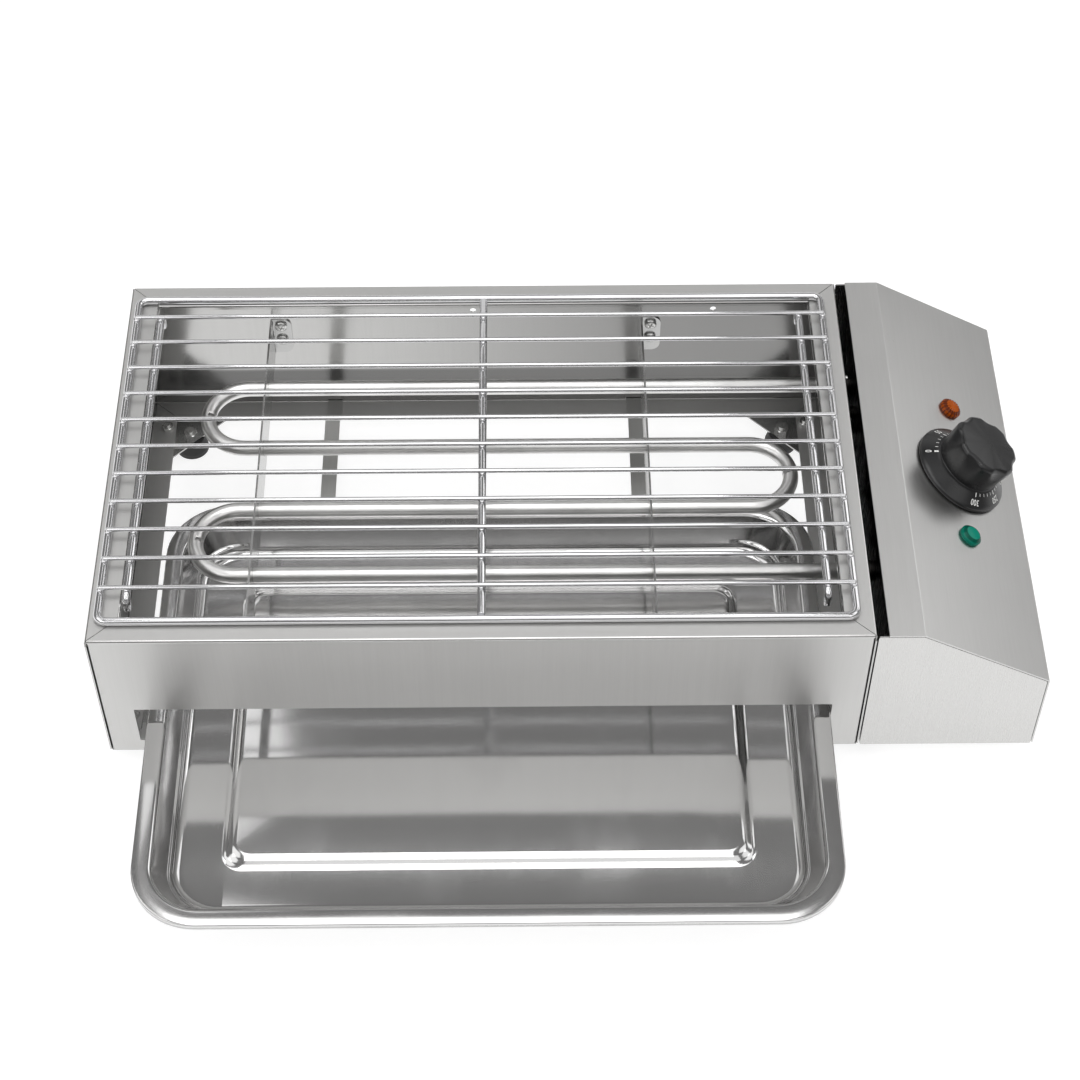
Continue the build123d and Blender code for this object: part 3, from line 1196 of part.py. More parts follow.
def lamp_lens(sideways):
    """Lens with a bevelled rim standing on the slope and a stem through it."""
    with BuildPart() as lens:
        with BuildSketch(on_slope(0, sideways)) as rim:
            Circle(LAMP_DIAMETER / 2)
        extrude(rim.sketch, amount=LAMP_TALL)
        top_edge = lens.faces().sort_by(Axis(SLOPE_MIDDLE, SLOPE_OUT))[-1].edges()
        chamfer(top_edge, LAMP_BEVEL)
        with BuildSketch(on_slope(0, sideways)) as stem:
            Circle(LAMP_STEM / 2)
        extrude(stem.sketch, amount=-LAMP_STEM_LENGTH)
    return lens.part


with BuildPart() as amber_lamp_lens:
    add(lamp_lens(LAMP_SPREAD))
amber_lamp_lens.part.label = "amber_lamp_lens"
export_step(amber_lamp_lens.part, "parts/amber_lamp_lens.step")

with BuildPart() as green_lamp_lens:
    add(lamp_lens(-LAMP_SPREAD))
green_lamp_lens.part.label = "green_lamp_lens"
export_step(green_lamp_lens.part, "parts/green_lamp_lens.step")

# Spring clips behind the slope and the lamp housings on the stems
with BuildPart() as lamp_clips:
    for side in (-1, 1):
        seat = on_slope(0, side * LAMP_SPREAD, -SHEET, outward=False)
        add(ring(seat, LAMP_CLIP, LAMP_STEM + 2 * SHAFT_FIT, LAMP_CLIP_THICK))
lamp_clips.part.label = "lamp_clips"
export_step(lamp_clips.part, "parts/lamp_clips.step")

with BuildPart() as lamp_housings:
    for side in (-1, 1):
        seat = on_slope(0, side * LAMP_SPREAD, -SHEET - LAMP_CLIP_THICK, outward=False)
        socket = LAMP_STEM_LENGTH - SHEET - LAMP_CLIP_THICK
        add(ring(seat, LAMP_HOUSING, LAMP_STEM + 2 * SHAFT_FIT, socket))
        with BuildSketch(seat.offset(socket)) as back:
            Circle(LAMP_HOUSING / 2)
        extrude(back.sketch, amount=LAMP_HOUSING_LENGTH - socket)
lamp_housings.part.label = "lamp_housings"
export_step(lamp_housings.part, "parts/lamp_housings.step")
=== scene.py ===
"""Looks of a portable electric grill with a sliding drip tray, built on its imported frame."""

import logging
import math
from dataclasses import dataclass
from enum import Enum
from typing import Any, Callable, ClassVar, Iterable, Sequence

import bmesh
import bpy
import numpy as np
from mathutils import Euler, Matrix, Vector


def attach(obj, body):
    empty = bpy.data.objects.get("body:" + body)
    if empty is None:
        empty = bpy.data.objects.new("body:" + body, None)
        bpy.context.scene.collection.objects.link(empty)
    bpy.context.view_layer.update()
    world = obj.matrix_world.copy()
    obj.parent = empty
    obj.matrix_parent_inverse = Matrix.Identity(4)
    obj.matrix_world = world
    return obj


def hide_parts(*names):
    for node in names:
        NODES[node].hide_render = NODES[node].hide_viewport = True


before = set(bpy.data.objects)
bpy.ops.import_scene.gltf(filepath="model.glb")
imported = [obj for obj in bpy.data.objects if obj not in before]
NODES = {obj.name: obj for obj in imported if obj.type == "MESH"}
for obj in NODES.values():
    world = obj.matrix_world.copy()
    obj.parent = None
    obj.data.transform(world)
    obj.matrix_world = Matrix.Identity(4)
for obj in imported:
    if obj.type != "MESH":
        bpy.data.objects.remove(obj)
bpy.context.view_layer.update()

logging.basicConfig(level=logging.INFO, format="%(name)s: %(message)s")
log = logging.getLogger("grill")

MM = 0.001
RIGHT_ANGLE = math.pi / 2
FULL_TURN = 2 * math.pi
Piece = bpy.types.Object
Material = bpy.types.Material

# Foot of the knob on the slope, in millimetres, and the directions down the slope, out of it and across it
SLOPE_MIDDLE = np.array([244.95, 66.3, 101.5])
SLOPE_DOWN = np.array([0.8671, 0.0, -0.4980])
SLOPE_OUT = np.array([0.4980, 0.0, 0.8671])
ACROSS = np.array([0.0, 1.0, 0.0])

# Edges of the vent slot, whose faces are painted black as shade, in metres, each as the short ramp across it,
# and the box's middle and half depth
SLOT_LEFT, SLOT_RIGHT, SLOT_TOP = (0.1765, 0.1768), (0.1866, 0.1869), (0.1228, 0.1236)
SLOT_SHEET = (0.0011, 0.0018)
BOX_MIDDLE_Y, BOX_HALF_DEPTH = 0.0663, 0.145
# Near-black colour painted as shade on the faces inside the vent slot
PAINTED_SLOT_SHADE = (0.012, 0.012, 0.012)
STAINLESS = (0.61, 0.607, 0.598)


class Grain(Enum):
    """The axis that a sheet was brushed along."""

    X = (0.015, 1.0, 1.0)
    Y = (1.0, 0.015, 1.0)
    Z = (1.0, 1.0, 0.015)

    def waves(self, across: float) -> tuple:
        """Waves per metre along each axis, with this many across the grain."""
        return tuple(across * share for share in self.value)


def operator(operation: str, swapped: bool = False) -> Callable:
    """Makes a method that joins a Value and another term through one Math node.

    Args:
        operation: The node's operation.
        swapped: Whether the other term comes first.

    Returns:
        The method.
    """

    def method(value: "Value", other: Any) -> "Value":
        """This value joined with another term."""
        terms = [other, value] if swapped else [value, other]
        return value.graph.make("Math", {"operation": operation}, terms)

    return method


class Value:
    """A number or colour worked out by a material's nodes, joined with Python's own operators."""

    def __init__(self, graph: "Graph", socket: Any) -> None:
        """Keeps the node tree and the socket that hands the value out."""
        self.graph = graph
        self.socket = socket

    __add__ = __radd__ = operator("ADD")
    __sub__ = operator("SUBTRACT")
    __rsub__ = operator("SUBTRACT", True)
    __mul__ = __rmul__ = operator("MULTIPLY")
    __pow__ = operator("POWER")
    floor_at = operator("MAXIMUM")
    cap_at = operator("MINIMUM")

    def __abs__(self) -> "Value":
        """This value without its sign."""
        return self.graph.make("Math", {"operation": "ABSOLUTE"}, [self])

    def steps(self, low: float, high: float) -> "Value":
        """0 below low, 1 above high and smooth between them.

        Args:
            low: Where the ramp leaves 0.
            high: Where the ramp reaches 1.

        Returns:
            The smooth ramp of this value.
        """
        ends = {"Value": self, "From Min": low, "From Max": high}
        return self.graph.make("MapRange", {"interpolation_type": "SMOOTHSTEP"}, ends)


class Graph:
    """The node tree of one finish."""

    def __init__(self, name: str) -> None:
        """Starts a material that holds its output node alone.

        Args:
            name: The finish's name.
        """
        self.material = bpy.data.materials.new(name)
        self.material.use_nodes = True
        self.tree = self.material.node_tree
        self.tree.nodes.clear()
        self.output = self.tree.nodes.new("ShaderNodeOutputMaterial")

    def make(self, kind: str, settings: dict, inputs: Any = (), output: int | str = 0) -> Value:
        """Any node, with its settings made before its inputs are joined.

        Args:
            kind: The node's type without its ShaderNode prefix.
            settings: Properties of the node.
            inputs: Values by input name or in order.
            output: The output to hand back.

        Returns:
            The wanted output.
        """
        node = self.tree.nodes.new("ShaderNode" + kind)
        for key, setting in settings.items():
            setattr(node, key, setting)
        for key, given in inputs.items() if isinstance(inputs, dict) else enumerate(inputs):
            if isinstance(given, Value):
                self.tree.links.new(given.socket, node.inputs[key])
            else:
                node.inputs[key].default_value = given
        return Value(self, node.outputs[output])

    def place(self) -> Value:
        """The point on the piece, in metres of the frame."""
        return self.make("TexCoord", {}, output="Object")

    def facing(self) -> Value:
        """The direction that the surface faces, in the frame's axes."""
        return self.make("TexCoord", {}, output="Normal")

    def parts(self, vector: Value) -> tuple[Value, ...]:
        """A vector's three numbers."""
        split = self.make("SeparateXYZ", {}, [vector])
        return tuple(Value(self, part) for part in split.socket.node.outputs)

    def noise(self, waves: float | Sequence[float], detail: float, rough: float) -> Value:
        """Smooth noise from 0 to 1.

        Args:
            waves: Waves per metre, all round or along each axis.
            detail: Finer layers laid over the first.
            rough: Share of each finer layer.

        Returns:
            The noise.
        """
        scale = tuple(float(wave) for wave in np.broadcast_to(waves, 3))
        point = self.make("VectorMath", {"operation": "MULTIPLY"}, [self.place(), scale])
        inputs = {"Vector": point, "Scale": 1.0, "Detail": detail, "Roughness": rough}
        return self.make("TexNoise", {}, inputs)

    def slot_shade(self) -> Value:
        """1 on the faces inside the vent slot and its seams, where black is painted as shade, 0 elsewhere.

        Returns:
            The share of painted shade.
        """
        x, y, z = self.parts(self.place())
        sideways = abs(self.parts(self.facing())[0]).steps(0.4, 0.6)
        inside = x.steps(*SLOT_LEFT) * (1.0 - x.steps(*SLOT_RIGHT)) * (1.0 - z.steps(*SLOT_TOP))
        deep = (BOX_HALF_DEPTH - abs(y - BOX_MIDDLE_Y)).steps(*SLOT_SHEET)
        return inside * deep.floor_at(sideways)

    def blend(self, factor: Any, low: Any, high: Any) -> Value:
        """A colour between two colours."""
        ends = [end if isinstance(end, Value) else (*end, 1.0) for end in (low, high)]
        return self.make("Mix", {"data_type": "RGBA"}, {0: factor, 6: ends[0], 7: ends[1]}, output=2)

    def bump(self, height: Value, depth: float) -> Value:
        """A surface direction from a height in units of depth metres."""
        return self.make("Bump", {}, {"Strength": 1.0, "Distance": depth, "Height": height})

    def surface(self, uniform: dict, varying: dict) -> Material:
        """The finished material.

        Args:
            uniform: Numbers and colours set on the shader's own inputs.
            varying: Worked-out values joined to the shader's inputs.

        Returns:
            The material.
        """
        shader = self.make("BsdfPrincipled", {}, {**uniform, **varying})
        self.tree.links.new(shader.socket, self.output.inputs["Surface"])
        return self.material


def toned(tone: Sequence[float], share: float, more: float = 0.0) -> tuple:
    """A colour scaled by a share and raised by a little more, never over 1."""
    return tuple(min(1.0, part * share + more) for part in tone)


class Finish:
    """A named finish that makes its material once.

    Args:
        name: The finish's name.
    """

    made: ClassVar[dict] = {}
    name: str

    def paint(self, graph: Graph) -> Material:
        """Makes the finish's nodes in a fresh node tree and hands back the material."""
        raise NotImplementedError

    def material(self) -> Material:
        """The finish's material, made at its first use.

        Returns:
            The material.
        """
        if self.name not in Finish.made:
            Finish.made[self.name] = self.paint(Graph(self.name))
            log.info("finish %s", self.name)
        return Finish.made[self.name]


@dataclass(frozen=True)
class BrushedSheet(Finish):
    """Stainless sheet with a fine one-way grain.

    Args:
        name: The finish's name.
        grain: The brushing direction.
        tone: The steel's own colour.
        gloss: The middle roughness.
        scratch: The grain's depth, in metres.
        level: Roughness added on level faces.
    """

    name: str
    grain: Grain
    tone: tuple
    gloss: float
    scratch: float = 0.000003
    level: float = 0.0

    def paint(self, graph: Graph) -> Material:
        """Lines and bands along the grain, slow clouds and worn patches.

        Args:
            graph: The finish's node tree.

        Returns:
            The material.
        """
        flat = graph.parts(graph.facing())[2].steps(0.95, 0.985) * self.level
        lines = graph.noise(self.grain.waves(2600.0), 2.0, 0.6)
        bands = graph.noise(self.grain.waves(420.0), 3.0, 0.5)
        clouds = graph.noise(9.0, 4.0, 0.5)
        worn = graph.noise(34.0, 6.0, 0.62).steps(0.56, 0.74)
        shade = (lines * 0.5 + bands * 0.2 + clouds * 0.3).steps(0.3, 0.7)
        clean = graph.blend(shade, toned(self.tone, 0.97), toned(self.tone, 1.03))
        return graph.surface(
            {"Metallic": 1.0},
            {
                # The vent slot's faces are painted black as shade
                "Base Color": graph.blend(graph.slot_shade(), clean, PAINTED_SLOT_SHADE),
                "Roughness": self.gloss + flat + (lines - 0.5) * 0.07 + (clouds - 0.5) * 0.05 + worn * 0.03,
                "Normal": graph.bump(lines * 0.7 + bands * 0.3, self.scratch),
            },
        )


@dataclass(frozen=True)
class WallSheet(Finish):
    """Sheet of the boxes: fine upright grain outside, duller level folds, and a smoother face inside.

    Args:
        name: The finish's name.
        fold: The grain of the level folds.
        tone: The steel's own colour.
        gloss: Roughness of the outer faces.
        front: Roughness of the face that looks forward.
        level: Roughness of the level folds.
        fold_gloss: Roughness round the folds, where bending has smoothed the sheet.
        within: Roughness of the faces that look into the cooking box.
        heated: Share of the colour left low down inside, where shade is painted.
        hazed: Share of the colour left inside toward the control box, where shade is painted.
        haze_ends: Where the painted shade begins and is full, in metres along X.
        line: Height of the upper edge of the painted shade low down, in metres.
        soft: Half the soft edge of the painted shade low down, in metres.
        middle: Centre of the cooking box, in metres.
    """

    name: str
    fold: Grain
    tone: tuple = STAINLESS
    gloss: float = 0.45
    front: float = 0.48
    level: float = 0.5
    fold_gloss: float = 0.14
    within: float = 0.16
    heated: float = 0.32
    hazed: float = 0.42
    haze_ends: tuple = (-0.24, 0.1)
    line: float = 0.0465
    soft: float = 0.003
    middle: tuple = (-0.054, 0.0663)

    def paint(self, graph: Graph) -> Material:
        """Grain, folds and painted shade inside, told apart by where each point is and how it faces.

        A face is inner where its direction points to the middle: n . (middle - p) > 0.

        Args:
            graph: The finish's node tree.

        Returns:
            The material.
        """
        x, y, z = graph.parts(graph.place())
        face_x, face_y, face_z = graph.parts(graph.facing())
        inward = (face_x * (self.middle[0] - x) + face_y * (self.middle[1] - y)).steps(0.04, 0.08)
        level = face_z.steps(0.94, 0.985)
        rounded = face_z.steps(0.08, 0.2) * (1.0 - level)
        forward = (0.0 - face_y).steps(0.9, 0.97) * (1.0 - inward)
        # Low down inside, the colour is darkened as painted shade, and the sheet is made rougher
        low_shaded_zone = inward * (1.0 - z.steps(self.line - self.soft, self.line + self.soft))
        upright = graph.noise(Grain.Z.waves(1900.0), 2.0, 0.6)
        folded = graph.noise(self.fold.waves(1900.0), 2.0, 0.6)
        lines = upright * (1.0 - level) + folded * level
        bands = graph.noise(Grain.Z.waves(230.0), 3.0, 0.5)
        clouds = graph.noise(8.0, 4.0, 0.5)
        worn = graph.noise(30.0, 6.0, 0.62).steps(0.58, 0.76)
        shade = (lines * 0.45 + bands * 0.3 + clouds * 0.25).steps(0.3, 0.7)
        roughness = self.gloss + (lines - 0.5) * 0.05 + (clouds - 0.5) * 0.04 + worn * 0.03 + low_shaded_zone * 0.08
        zones = (level, inward, rounded, forward)
        for zone, gloss in zip(zones, (self.level, self.within, self.fold_gloss, self.front)):
            roughness = roughness + zone * (gloss - self.gloss)
        plain = graph.blend(shade, toned(self.tone, 0.975), toned(self.tone, 1.025))
        # Inside, toward the control box, the colour is darkened as painted shade
        right_shaded = graph.blend(inward * x.steps(*self.haze_ends) * 0.9, plain, toned(self.tone, self.hazed))
        # Low down inside, the colour is darkened further as painted shade
        clean = graph.blend(low_shaded_zone, right_shaded, toned(self.tone, self.heated))
        return graph.surface(
            {"Metallic": 1.0},
            {
                # The vent slot's faces are painted black as shade
                "Base Color": graph.blend(graph.slot_shade(), clean, PAINTED_SLOT_SHADE),
                "Roughness": roughness,
                "Normal": graph.bump(lines * 0.7 + bands * 0.3, 0.0000014),
            },
        )


@dataclass(frozen=True)
class PolishedSheet(Finish):
    """Bright drawn sheet that mirrors its surroundings, with floor borders dished up to the side walls.

    Args:
        name: The finish's name.
        tone: The steel's own colour.
        gloss: The middle roughness.
        ripple: The depth of the slow waves, in metres.
        middle: Middle of the tray along X, in metres.
        flat: Half width of the flat floor panel, in metres.
        rise: Slope of the dished borders.
        floor: Height below which the sheet is floor, in metres.
    """

    name: str
    tone: tuple = (0.66, 0.657, 0.655)
    gloss: float = 0.1
    ripple: float = 0.0004
    middle: float = -0.0506
    flat: float = 0.1555
    rise: float = 0.1
    floor: float = 0.033

    def paint(self, graph: Graph) -> Material:
        """Slow waves, drawing lines and a soft film over the dish h = rise * max(0, |x - middle| - flat).

        Args:
            graph: The finish's node tree.

        Returns:
            The material.
        """
        x, _, z = graph.parts(graph.place())
        low = 1.0 - z.steps(self.floor - 0.003, self.floor)
        dish = (abs(x - self.middle) - self.flat).floor_at(0.0) * low * self.rise
        waves = graph.noise(6.0, 2.0, 0.4)
        lines = graph.noise((900.0, 60.0, 900.0), 3.0, 0.6)
        film = graph.noise((28.0, 16.0, 28.0), 5.0, 0.6).steps(0.45, 0.8)
        return graph.surface(
            {"Metallic": 1.0},
            {
                "Base Color": graph.blend(film, self.tone, toned(self.tone, 0.95)),
                "Roughness": self.gloss + film * 0.04 + (lines - 0.5) * 0.03,
                "Normal": graph.bump(waves * self.ripple + lines * 0.0000012 + dish, 1.0),
            },
        )


@dataclass(frozen=True)
class BrightWire(Finish):
    """Chromed or plated metal with tiny pits and a soft film.

    Args:
        name: The finish's name.
        tone: The plating's own colour.
        gloss: The middle roughness.
        pits: How many pits show, from 0 to 1.
    """

    name: str
    tone: tuple = (0.76, 0.76, 0.77)
    gloss: float = 0.1
    pits: float = 0.3

    def paint(self, graph: Graph) -> Material:
        """A cloudy film with dots of pitting.

        Args:
            graph: The finish's node tree.

        Returns:
            The material.
        """
        film = graph.noise(60.0, 4.0, 0.6)
        pitted = graph.noise(1500.0, 1.0, 0.5).steps(0.66, 0.74) * self.pits
        return graph.surface(
            {"Metallic": 1.0},
            {
                "Base Color": graph.blend(pitted + film * 0.2, self.tone, toned(self.tone, 0.82)),
                "Roughness": self.gloss + film * 0.07 + pitted * 0.15,
                "Normal": graph.bump(film * 0.5 - pitted * 0.05, 0.00012),
            },
        )


@dataclass(frozen=True)
class DrawnTube(Finish):
    """Satin tube drawn to size, with short marks round it and a heat-dulled film.

    Args:
        name: The finish's name.
        tone: The metal's own colour.
    """

    name: str = "satin drawn tube"
    tone: tuple = (0.8, 0.795, 0.785)

    def paint(self, graph: Graph) -> Material:
        """Fine marks under a cloudy film, with black shade painted inside the vent slot.

        Args:
            graph: The finish's node tree.

        Returns:
            The material.
        """
        marks = graph.noise(1400.0, 3.0, 0.7)
        film = graph.noise(22.0, 5.0, 0.6)
        clean = graph.blend(film.steps(0.3, 0.72), toned(self.tone, 0.88), toned(self.tone, 1.1))
        return graph.surface(
            {"Metallic": 1.0},
            {
                # Where the tube crosses the vent slot it is painted black as shade
                "Base Color": graph.blend(graph.slot_shade(), clean, PAINTED_SLOT_SHADE),
                "Roughness": 0.26 + marks * 0.05 + film * 0.06,
                "Normal": graph.bump(marks, 0.00002),
            },
        )


@dataclass(frozen=True)
class Moulding(Finish):
    """Moulded plastic, rubber or ceramic with a fine spark texture.

    Args:
        name: The finish's name.
        tone: The material's colour.
        gloss: The middle roughness.
        texture: The depth of the spark texture, in metres.
    """

    name: str
    tone: tuple
    gloss: float
    texture: float = 0.00003

    def paint(self, graph: Graph) -> Material:
        """Fine sparks and the marks of handling.

        Args:
            graph: The finish's node tree.

        Returns:
            The material.
        """
        sparks = graph.noise(2200.0, 2.0, 0.6)
        touch = graph.noise(55.0, 4.0, 0.6)
        return graph.surface(
            {},
            {
                "Base Color": graph.blend(touch, toned(self.tone, 0.8), toned(self.tone, 1.25, 0.002)),
                "Roughness": self.gloss + (sparks - 0.5) * 0.05 + (touch - 0.5) * 0.1,
                "Normal": graph.bump(sparks, self.texture),
            },
        )


@dataclass(frozen=True)
class LampGlass(Finish):
    """Coloured clear plastic of a lamp lens: deep at the bevelled rim, thin over the lamp.

    Args:
        name: The finish's name.
        deep: The colour where the plastic is thick.
        thin: The colour where it is thin.
        sideways: The lens's distance from the slope's middle line, in millimetres.
        rays: Dark rays moulded under the face, or 0.
        thick: Where the thick rim begins, in metres from the axis.
        edge: Where it grows a little thinner again.
    """

    name: str
    deep: tuple
    thin: tuple
    sideways: float
    rays: float = 0.0
    thick: tuple = (0.0044, 0.0050)
    edge: tuple = (0.0062, 0.0069)

    def paint(self, graph: Graph) -> Material:
        """Rings and rays about the lens's axis: reach r = |(down, side)| and turn a = atan2(side, down).

        Args:
            graph: The finish's node tree.

        Returns:
            The material.
        """
        centre = tuple((SLOPE_MIDDLE + ACROSS * self.sideways) * MM)
        offset = graph.make("VectorMath", {"operation": "SUBTRACT"}, [graph.place(), centre])
        down, side = (
            graph.make("VectorMath", {"operation": "DOT_PRODUCT"}, [offset, tuple(axis)], output="Value")
            for axis in (SLOPE_DOWN, ACROSS)
        )
        reach = (down * down + side * side) ** 0.5
        inner = graph.noise(300.0, 2.0, 0.5)
        rim = reach.steps(*self.thick) - reach.steps(*self.edge) * 0.45
        deepness = rim * 0.85 + (inner - 0.5) * 0.3
        if self.rays:
            turn = graph.make("Math", {"operation": "ARCTAN2"}, [side, down])
            wave = graph.make("Math", {"operation": "COSINE"}, [turn * self.rays])
            deepness = deepness + wave.steps(0.0, 0.9) * 0.5 * reach.steps(0.001, 0.003)
        return graph.surface(
            {"Specular IOR Level": 0.12},
            {
                "Base Color": graph.blend(deepness.floor_at(0.0).cap_at(1.0), self.thin, self.deep),
                "Roughness": 0.14 + inner * 0.06,
                "Normal": graph.bump(inner, 0.00002),
            },
        )


@dataclass(frozen=True)
class PrintedMark(Finish):
    """White ink printed on the dial.

    Args:
        name: The finish's name.
        tone: The ink's colour.
    """

    name: str = "white dial print"
    tone: tuple = (0.95, 0.95, 0.93)

    def paint(self, graph: Graph) -> Material:
        """Ink with a fine grain.

        Args:
            graph: The finish's node tree.

        Returns:
            The material.
        """
        grain = graph.noise(4000.0, 2.0, 0.6)
        colour = graph.blend(grain, toned(self.tone, 0.85), self.tone)
        return graph.surface({}, {"Base Color": colour, "Roughness": 0.45 + grain * 0.1})


END_SHEET = WallSheet("stainless sheet of the long panels", Grain.X)
SIDE_SHEET = WallSheet("stainless sheet of the short panels", Grain.Y)
COVER_SHEET = BrushedSheet("stainless cover grain front to back", Grain.Y, STAINLESS, 0.3, 0.0000012, 0.12)
CHASSIS_SHEET = BrushedSheet("stainless chassis grain upright", Grain.Z, STAINLESS, 0.27, 0.0000016)
STEEL_PLAIN = BrushedSheet("rolled stainless sheet", Grain.X, (0.55, 0.55, 0.545), 0.22)
STEEL_STRIP = BrushedSheet("rolled strip", Grain.Y, (0.56, 0.56, 0.55), 0.3)
TRAY_STEEL = PolishedSheet("polished drawn steel")
CHROME_WIRE = BrightWire("chromed wire")
PLATED = BrightWire("bright plated steel", (0.72, 0.72, 0.71), 0.16, 0.5)
TURNED = BrightWire("turned steel", (0.62, 0.62, 0.6), 0.24, 0.4)
BRASS = BrightWire("plain brass", (0.72, 0.55, 0.26), 0.24, 0.5)
# Near-black metal painted as shade on the bushes, standoffs and bulb parts inside the slot and control box
SHADE_DARK_METAL = BrightWire("metal painted dark as shade", (0.05, 0.047, 0.044), 0.38, 0.5)
TUBE_SATIN = DrawnTube()
RUBBER = Moulding("black rubber", (0.022, 0.022, 0.022), 0.62, 0.00004)
KNOB_BLACK = Moulding("black satin moulding", (0.008, 0.008, 0.0085), 0.29, 0.000003)
CASE_DARK = Moulding("dark moulded case", (0.05, 0.044, 0.04), 0.5)
CASE_WHITE = Moulding("white moulded case", (0.78, 0.78, 0.75), 0.4)
CERAMIC = Moulding("unglazed ceramic", (0.8, 0.78, 0.71), 0.66, 0.00005)
AMBER = LampGlass("clear amber", (0.09, 0.012, 0.0006), (0.44, 0.084, 0.0025), 52.5, 18.0)
GREEN = LampGlass("clear green", (0.0004, 0.055, 0.036), (0.0015, 0.24, 0.165), -52.5)
PRINT = PrintedMark()


def as_mesh(name: str, points: np.ndarray, faces: Iterable[Sequence[int]], smooth: bool = True) -> Piece:
    """A mesh object at the frame's origin.

    Args:
        name: The piece's name.
        points: Corner places in millimetres, one row each.
        faces: Corner numbers of each face.
        smooth: Whether the faces are shaded smooth.

    Returns:
        The new object.
    """
    mesh = bpy.data.meshes.new(name)
    mesh.from_pydata((np.asarray(points, float) * MM).tolist(), [], [tuple(map(int, f)) for f in faces])
    mesh.polygons.foreach_set("use_smooth", np.full(len(mesh.polygons), smooth))
    mesh.update()
    piece = bpy.data.objects.new(name, mesh)
    bpy.context.scene.collection.objects.link(piece)
    return piece


def joined(name: str, skins: Iterable[tuple], smooth: bool = True) -> Piece:
    """One object of several closed skins, every face outward.

    Args:
        name: The piece's name.
        skins: Points and faces of each skin.
        smooth: Whether the faces are shaded smooth.

    Returns:
        The object.
    """
    points, faces, start = [], [], 0
    for corners, made in skins:
        points.append(np.asarray(corners, float))
        faces += [[start + number for number in face] for face in made]
        start += len(corners)
    piece = as_mesh(name, np.concatenate(points), faces, smooth)
    shape = bmesh.new()
    shape.from_mesh(piece.data)
    bmesh.ops.recalc_face_normals(shape, faces=shape.faces)
    shape.to_mesh(piece.data)
    shape.free()
    return piece


def quads(rows: int, columns: int, ring: bool = False) -> np.ndarray:
    """Faces of a grid whose columns close on themselves.

    Face (i, j) joins (i, j), (i, j+1), (i+1, j+1) and (i+1, j), with j taken round.

    Args:
        rows: Rows of points.
        columns: Points in each row.
        ring: Whether the last row joins the first.

    Returns:
        One row of four corner numbers for each face.
    """
    i = np.arange(rows if ring else rows - 1)[:, None]
    j = np.arange(columns)[None, :]
    after = (j + 1) % columns
    below = (i + 1) % rows
    corners = [i * columns + j, i * columns + after, below * columns + after, below * columns + j]
    return np.stack([np.broadcast_to(c, (i.size, j.size)) for c in corners], -1).reshape(-1, 4)


def end_faces(rows: int, columns: int) -> list:
    """The two faces that close the first and the last row of a grid."""
    return [list(range(columns))[::-1], list(range((rows - 1) * columns, rows * columns))]


def rounded_outline(
    half_x: np.ndarray,
    half_y: np.ndarray,
    radius: np.ndarray,
    arc: int = 14,
    side: int = 12,
) -> np.ndarray:
    """Rounded rectangles, one for each given size, with matching points.

    A corner's point is centre + r (cos t, sin t), and t runs through a right angle; the sides between
    two corners are divided evenly.

    Args:
        half_x: Half widths.
        half_y: Half depths.
        radius: Corner radii.
        arc: Steps round each corner.
        side: Steps along each side.

    Returns:
        Array of outlines, points and two coordinates.
    """
    half_x, half_y, radius = (np.asarray(sizes, float)[:, None] for sizes in (half_x, half_y, radius))
    runs = []
    for corner, (sign_x, sign_y) in enumerate(((1, 1), (-1, 1), (-1, -1), (1, -1))):
        t = (corner + np.linspace(0.0, 1.0, arc + 1)) * RIGHT_ANGLE
        x = sign_x * (half_x - radius) + radius * np.cos(t)
        y = sign_y * (half_y - radius) + radius * np.sin(t)
        runs.append(np.stack([x, y], -1))
    share = np.linspace(0.0, 1.0, side + 1)[None, 1:-1, None]
    pieces = []
    for run, following in zip(runs, runs[1:] + runs[:1]):
        pieces += [run, run[:, -1:] * (1 - share) + following[:, :1] * share]
    return np.concatenate(pieces, 1)


def round_profile(corners: Sequence[Sequence[float]], cuts: Sequence[float], steps: int) -> np.ndarray:
    """A polyline with its inner corners rounded.

    Each corner is replaced by the quadratic curve p = (1-t)^2 a + 2 t (1-t) c + t^2 b, which starts and
    ends at the given distance from the corner.

    Args:
        corners: Polyline points.
        cuts: Distance cut back at each inner corner.
        steps: Points for each corner.

    Returns:
        The rounded polyline.
    """
    corners = np.asarray(corners, float)
    t = np.linspace(0.0, 1.0, steps)[:, None]
    out = [corners[:1]]
    for before, corner, after, cut in zip(corners[:-2], corners[1:-1], corners[2:], cuts):
        start = corner + (before - corner) * cut / np.linalg.norm(before - corner)
        end = corner + (after - corner) * cut / np.linalg.norm(after - corner)
        out.append((1 - t) ** 2 * start + 2 * t * (1 - t) * corner + t ** 2 * end)
    return np.concatenate([*out, corners[-1:]])


def unit(vector: np.ndarray) -> np.ndarray:
    """Vectors at length one, row by row."""
    return vector / np.linalg.norm(vector, axis=-1, keepdims=True)


def square_axes(axis: Sequence[float]) -> tuple:
    """Two directions square to an axis and to each other, and the axis at length one.

    Args:
        axis: The axis, of any length.

    Returns:
        The first direction, the second one and the axis.
    """
    axis = unit(np.asarray(axis, float))
    side = unit(np.cross(axis, (0.3, 0.5, 0.81)))
    return side, np.cross(axis, side), axis


def turns(around: int) -> np.ndarray:
    """Angles of this many even steps round a circle."""
    return np.arange(around) / around * FULL_TURN


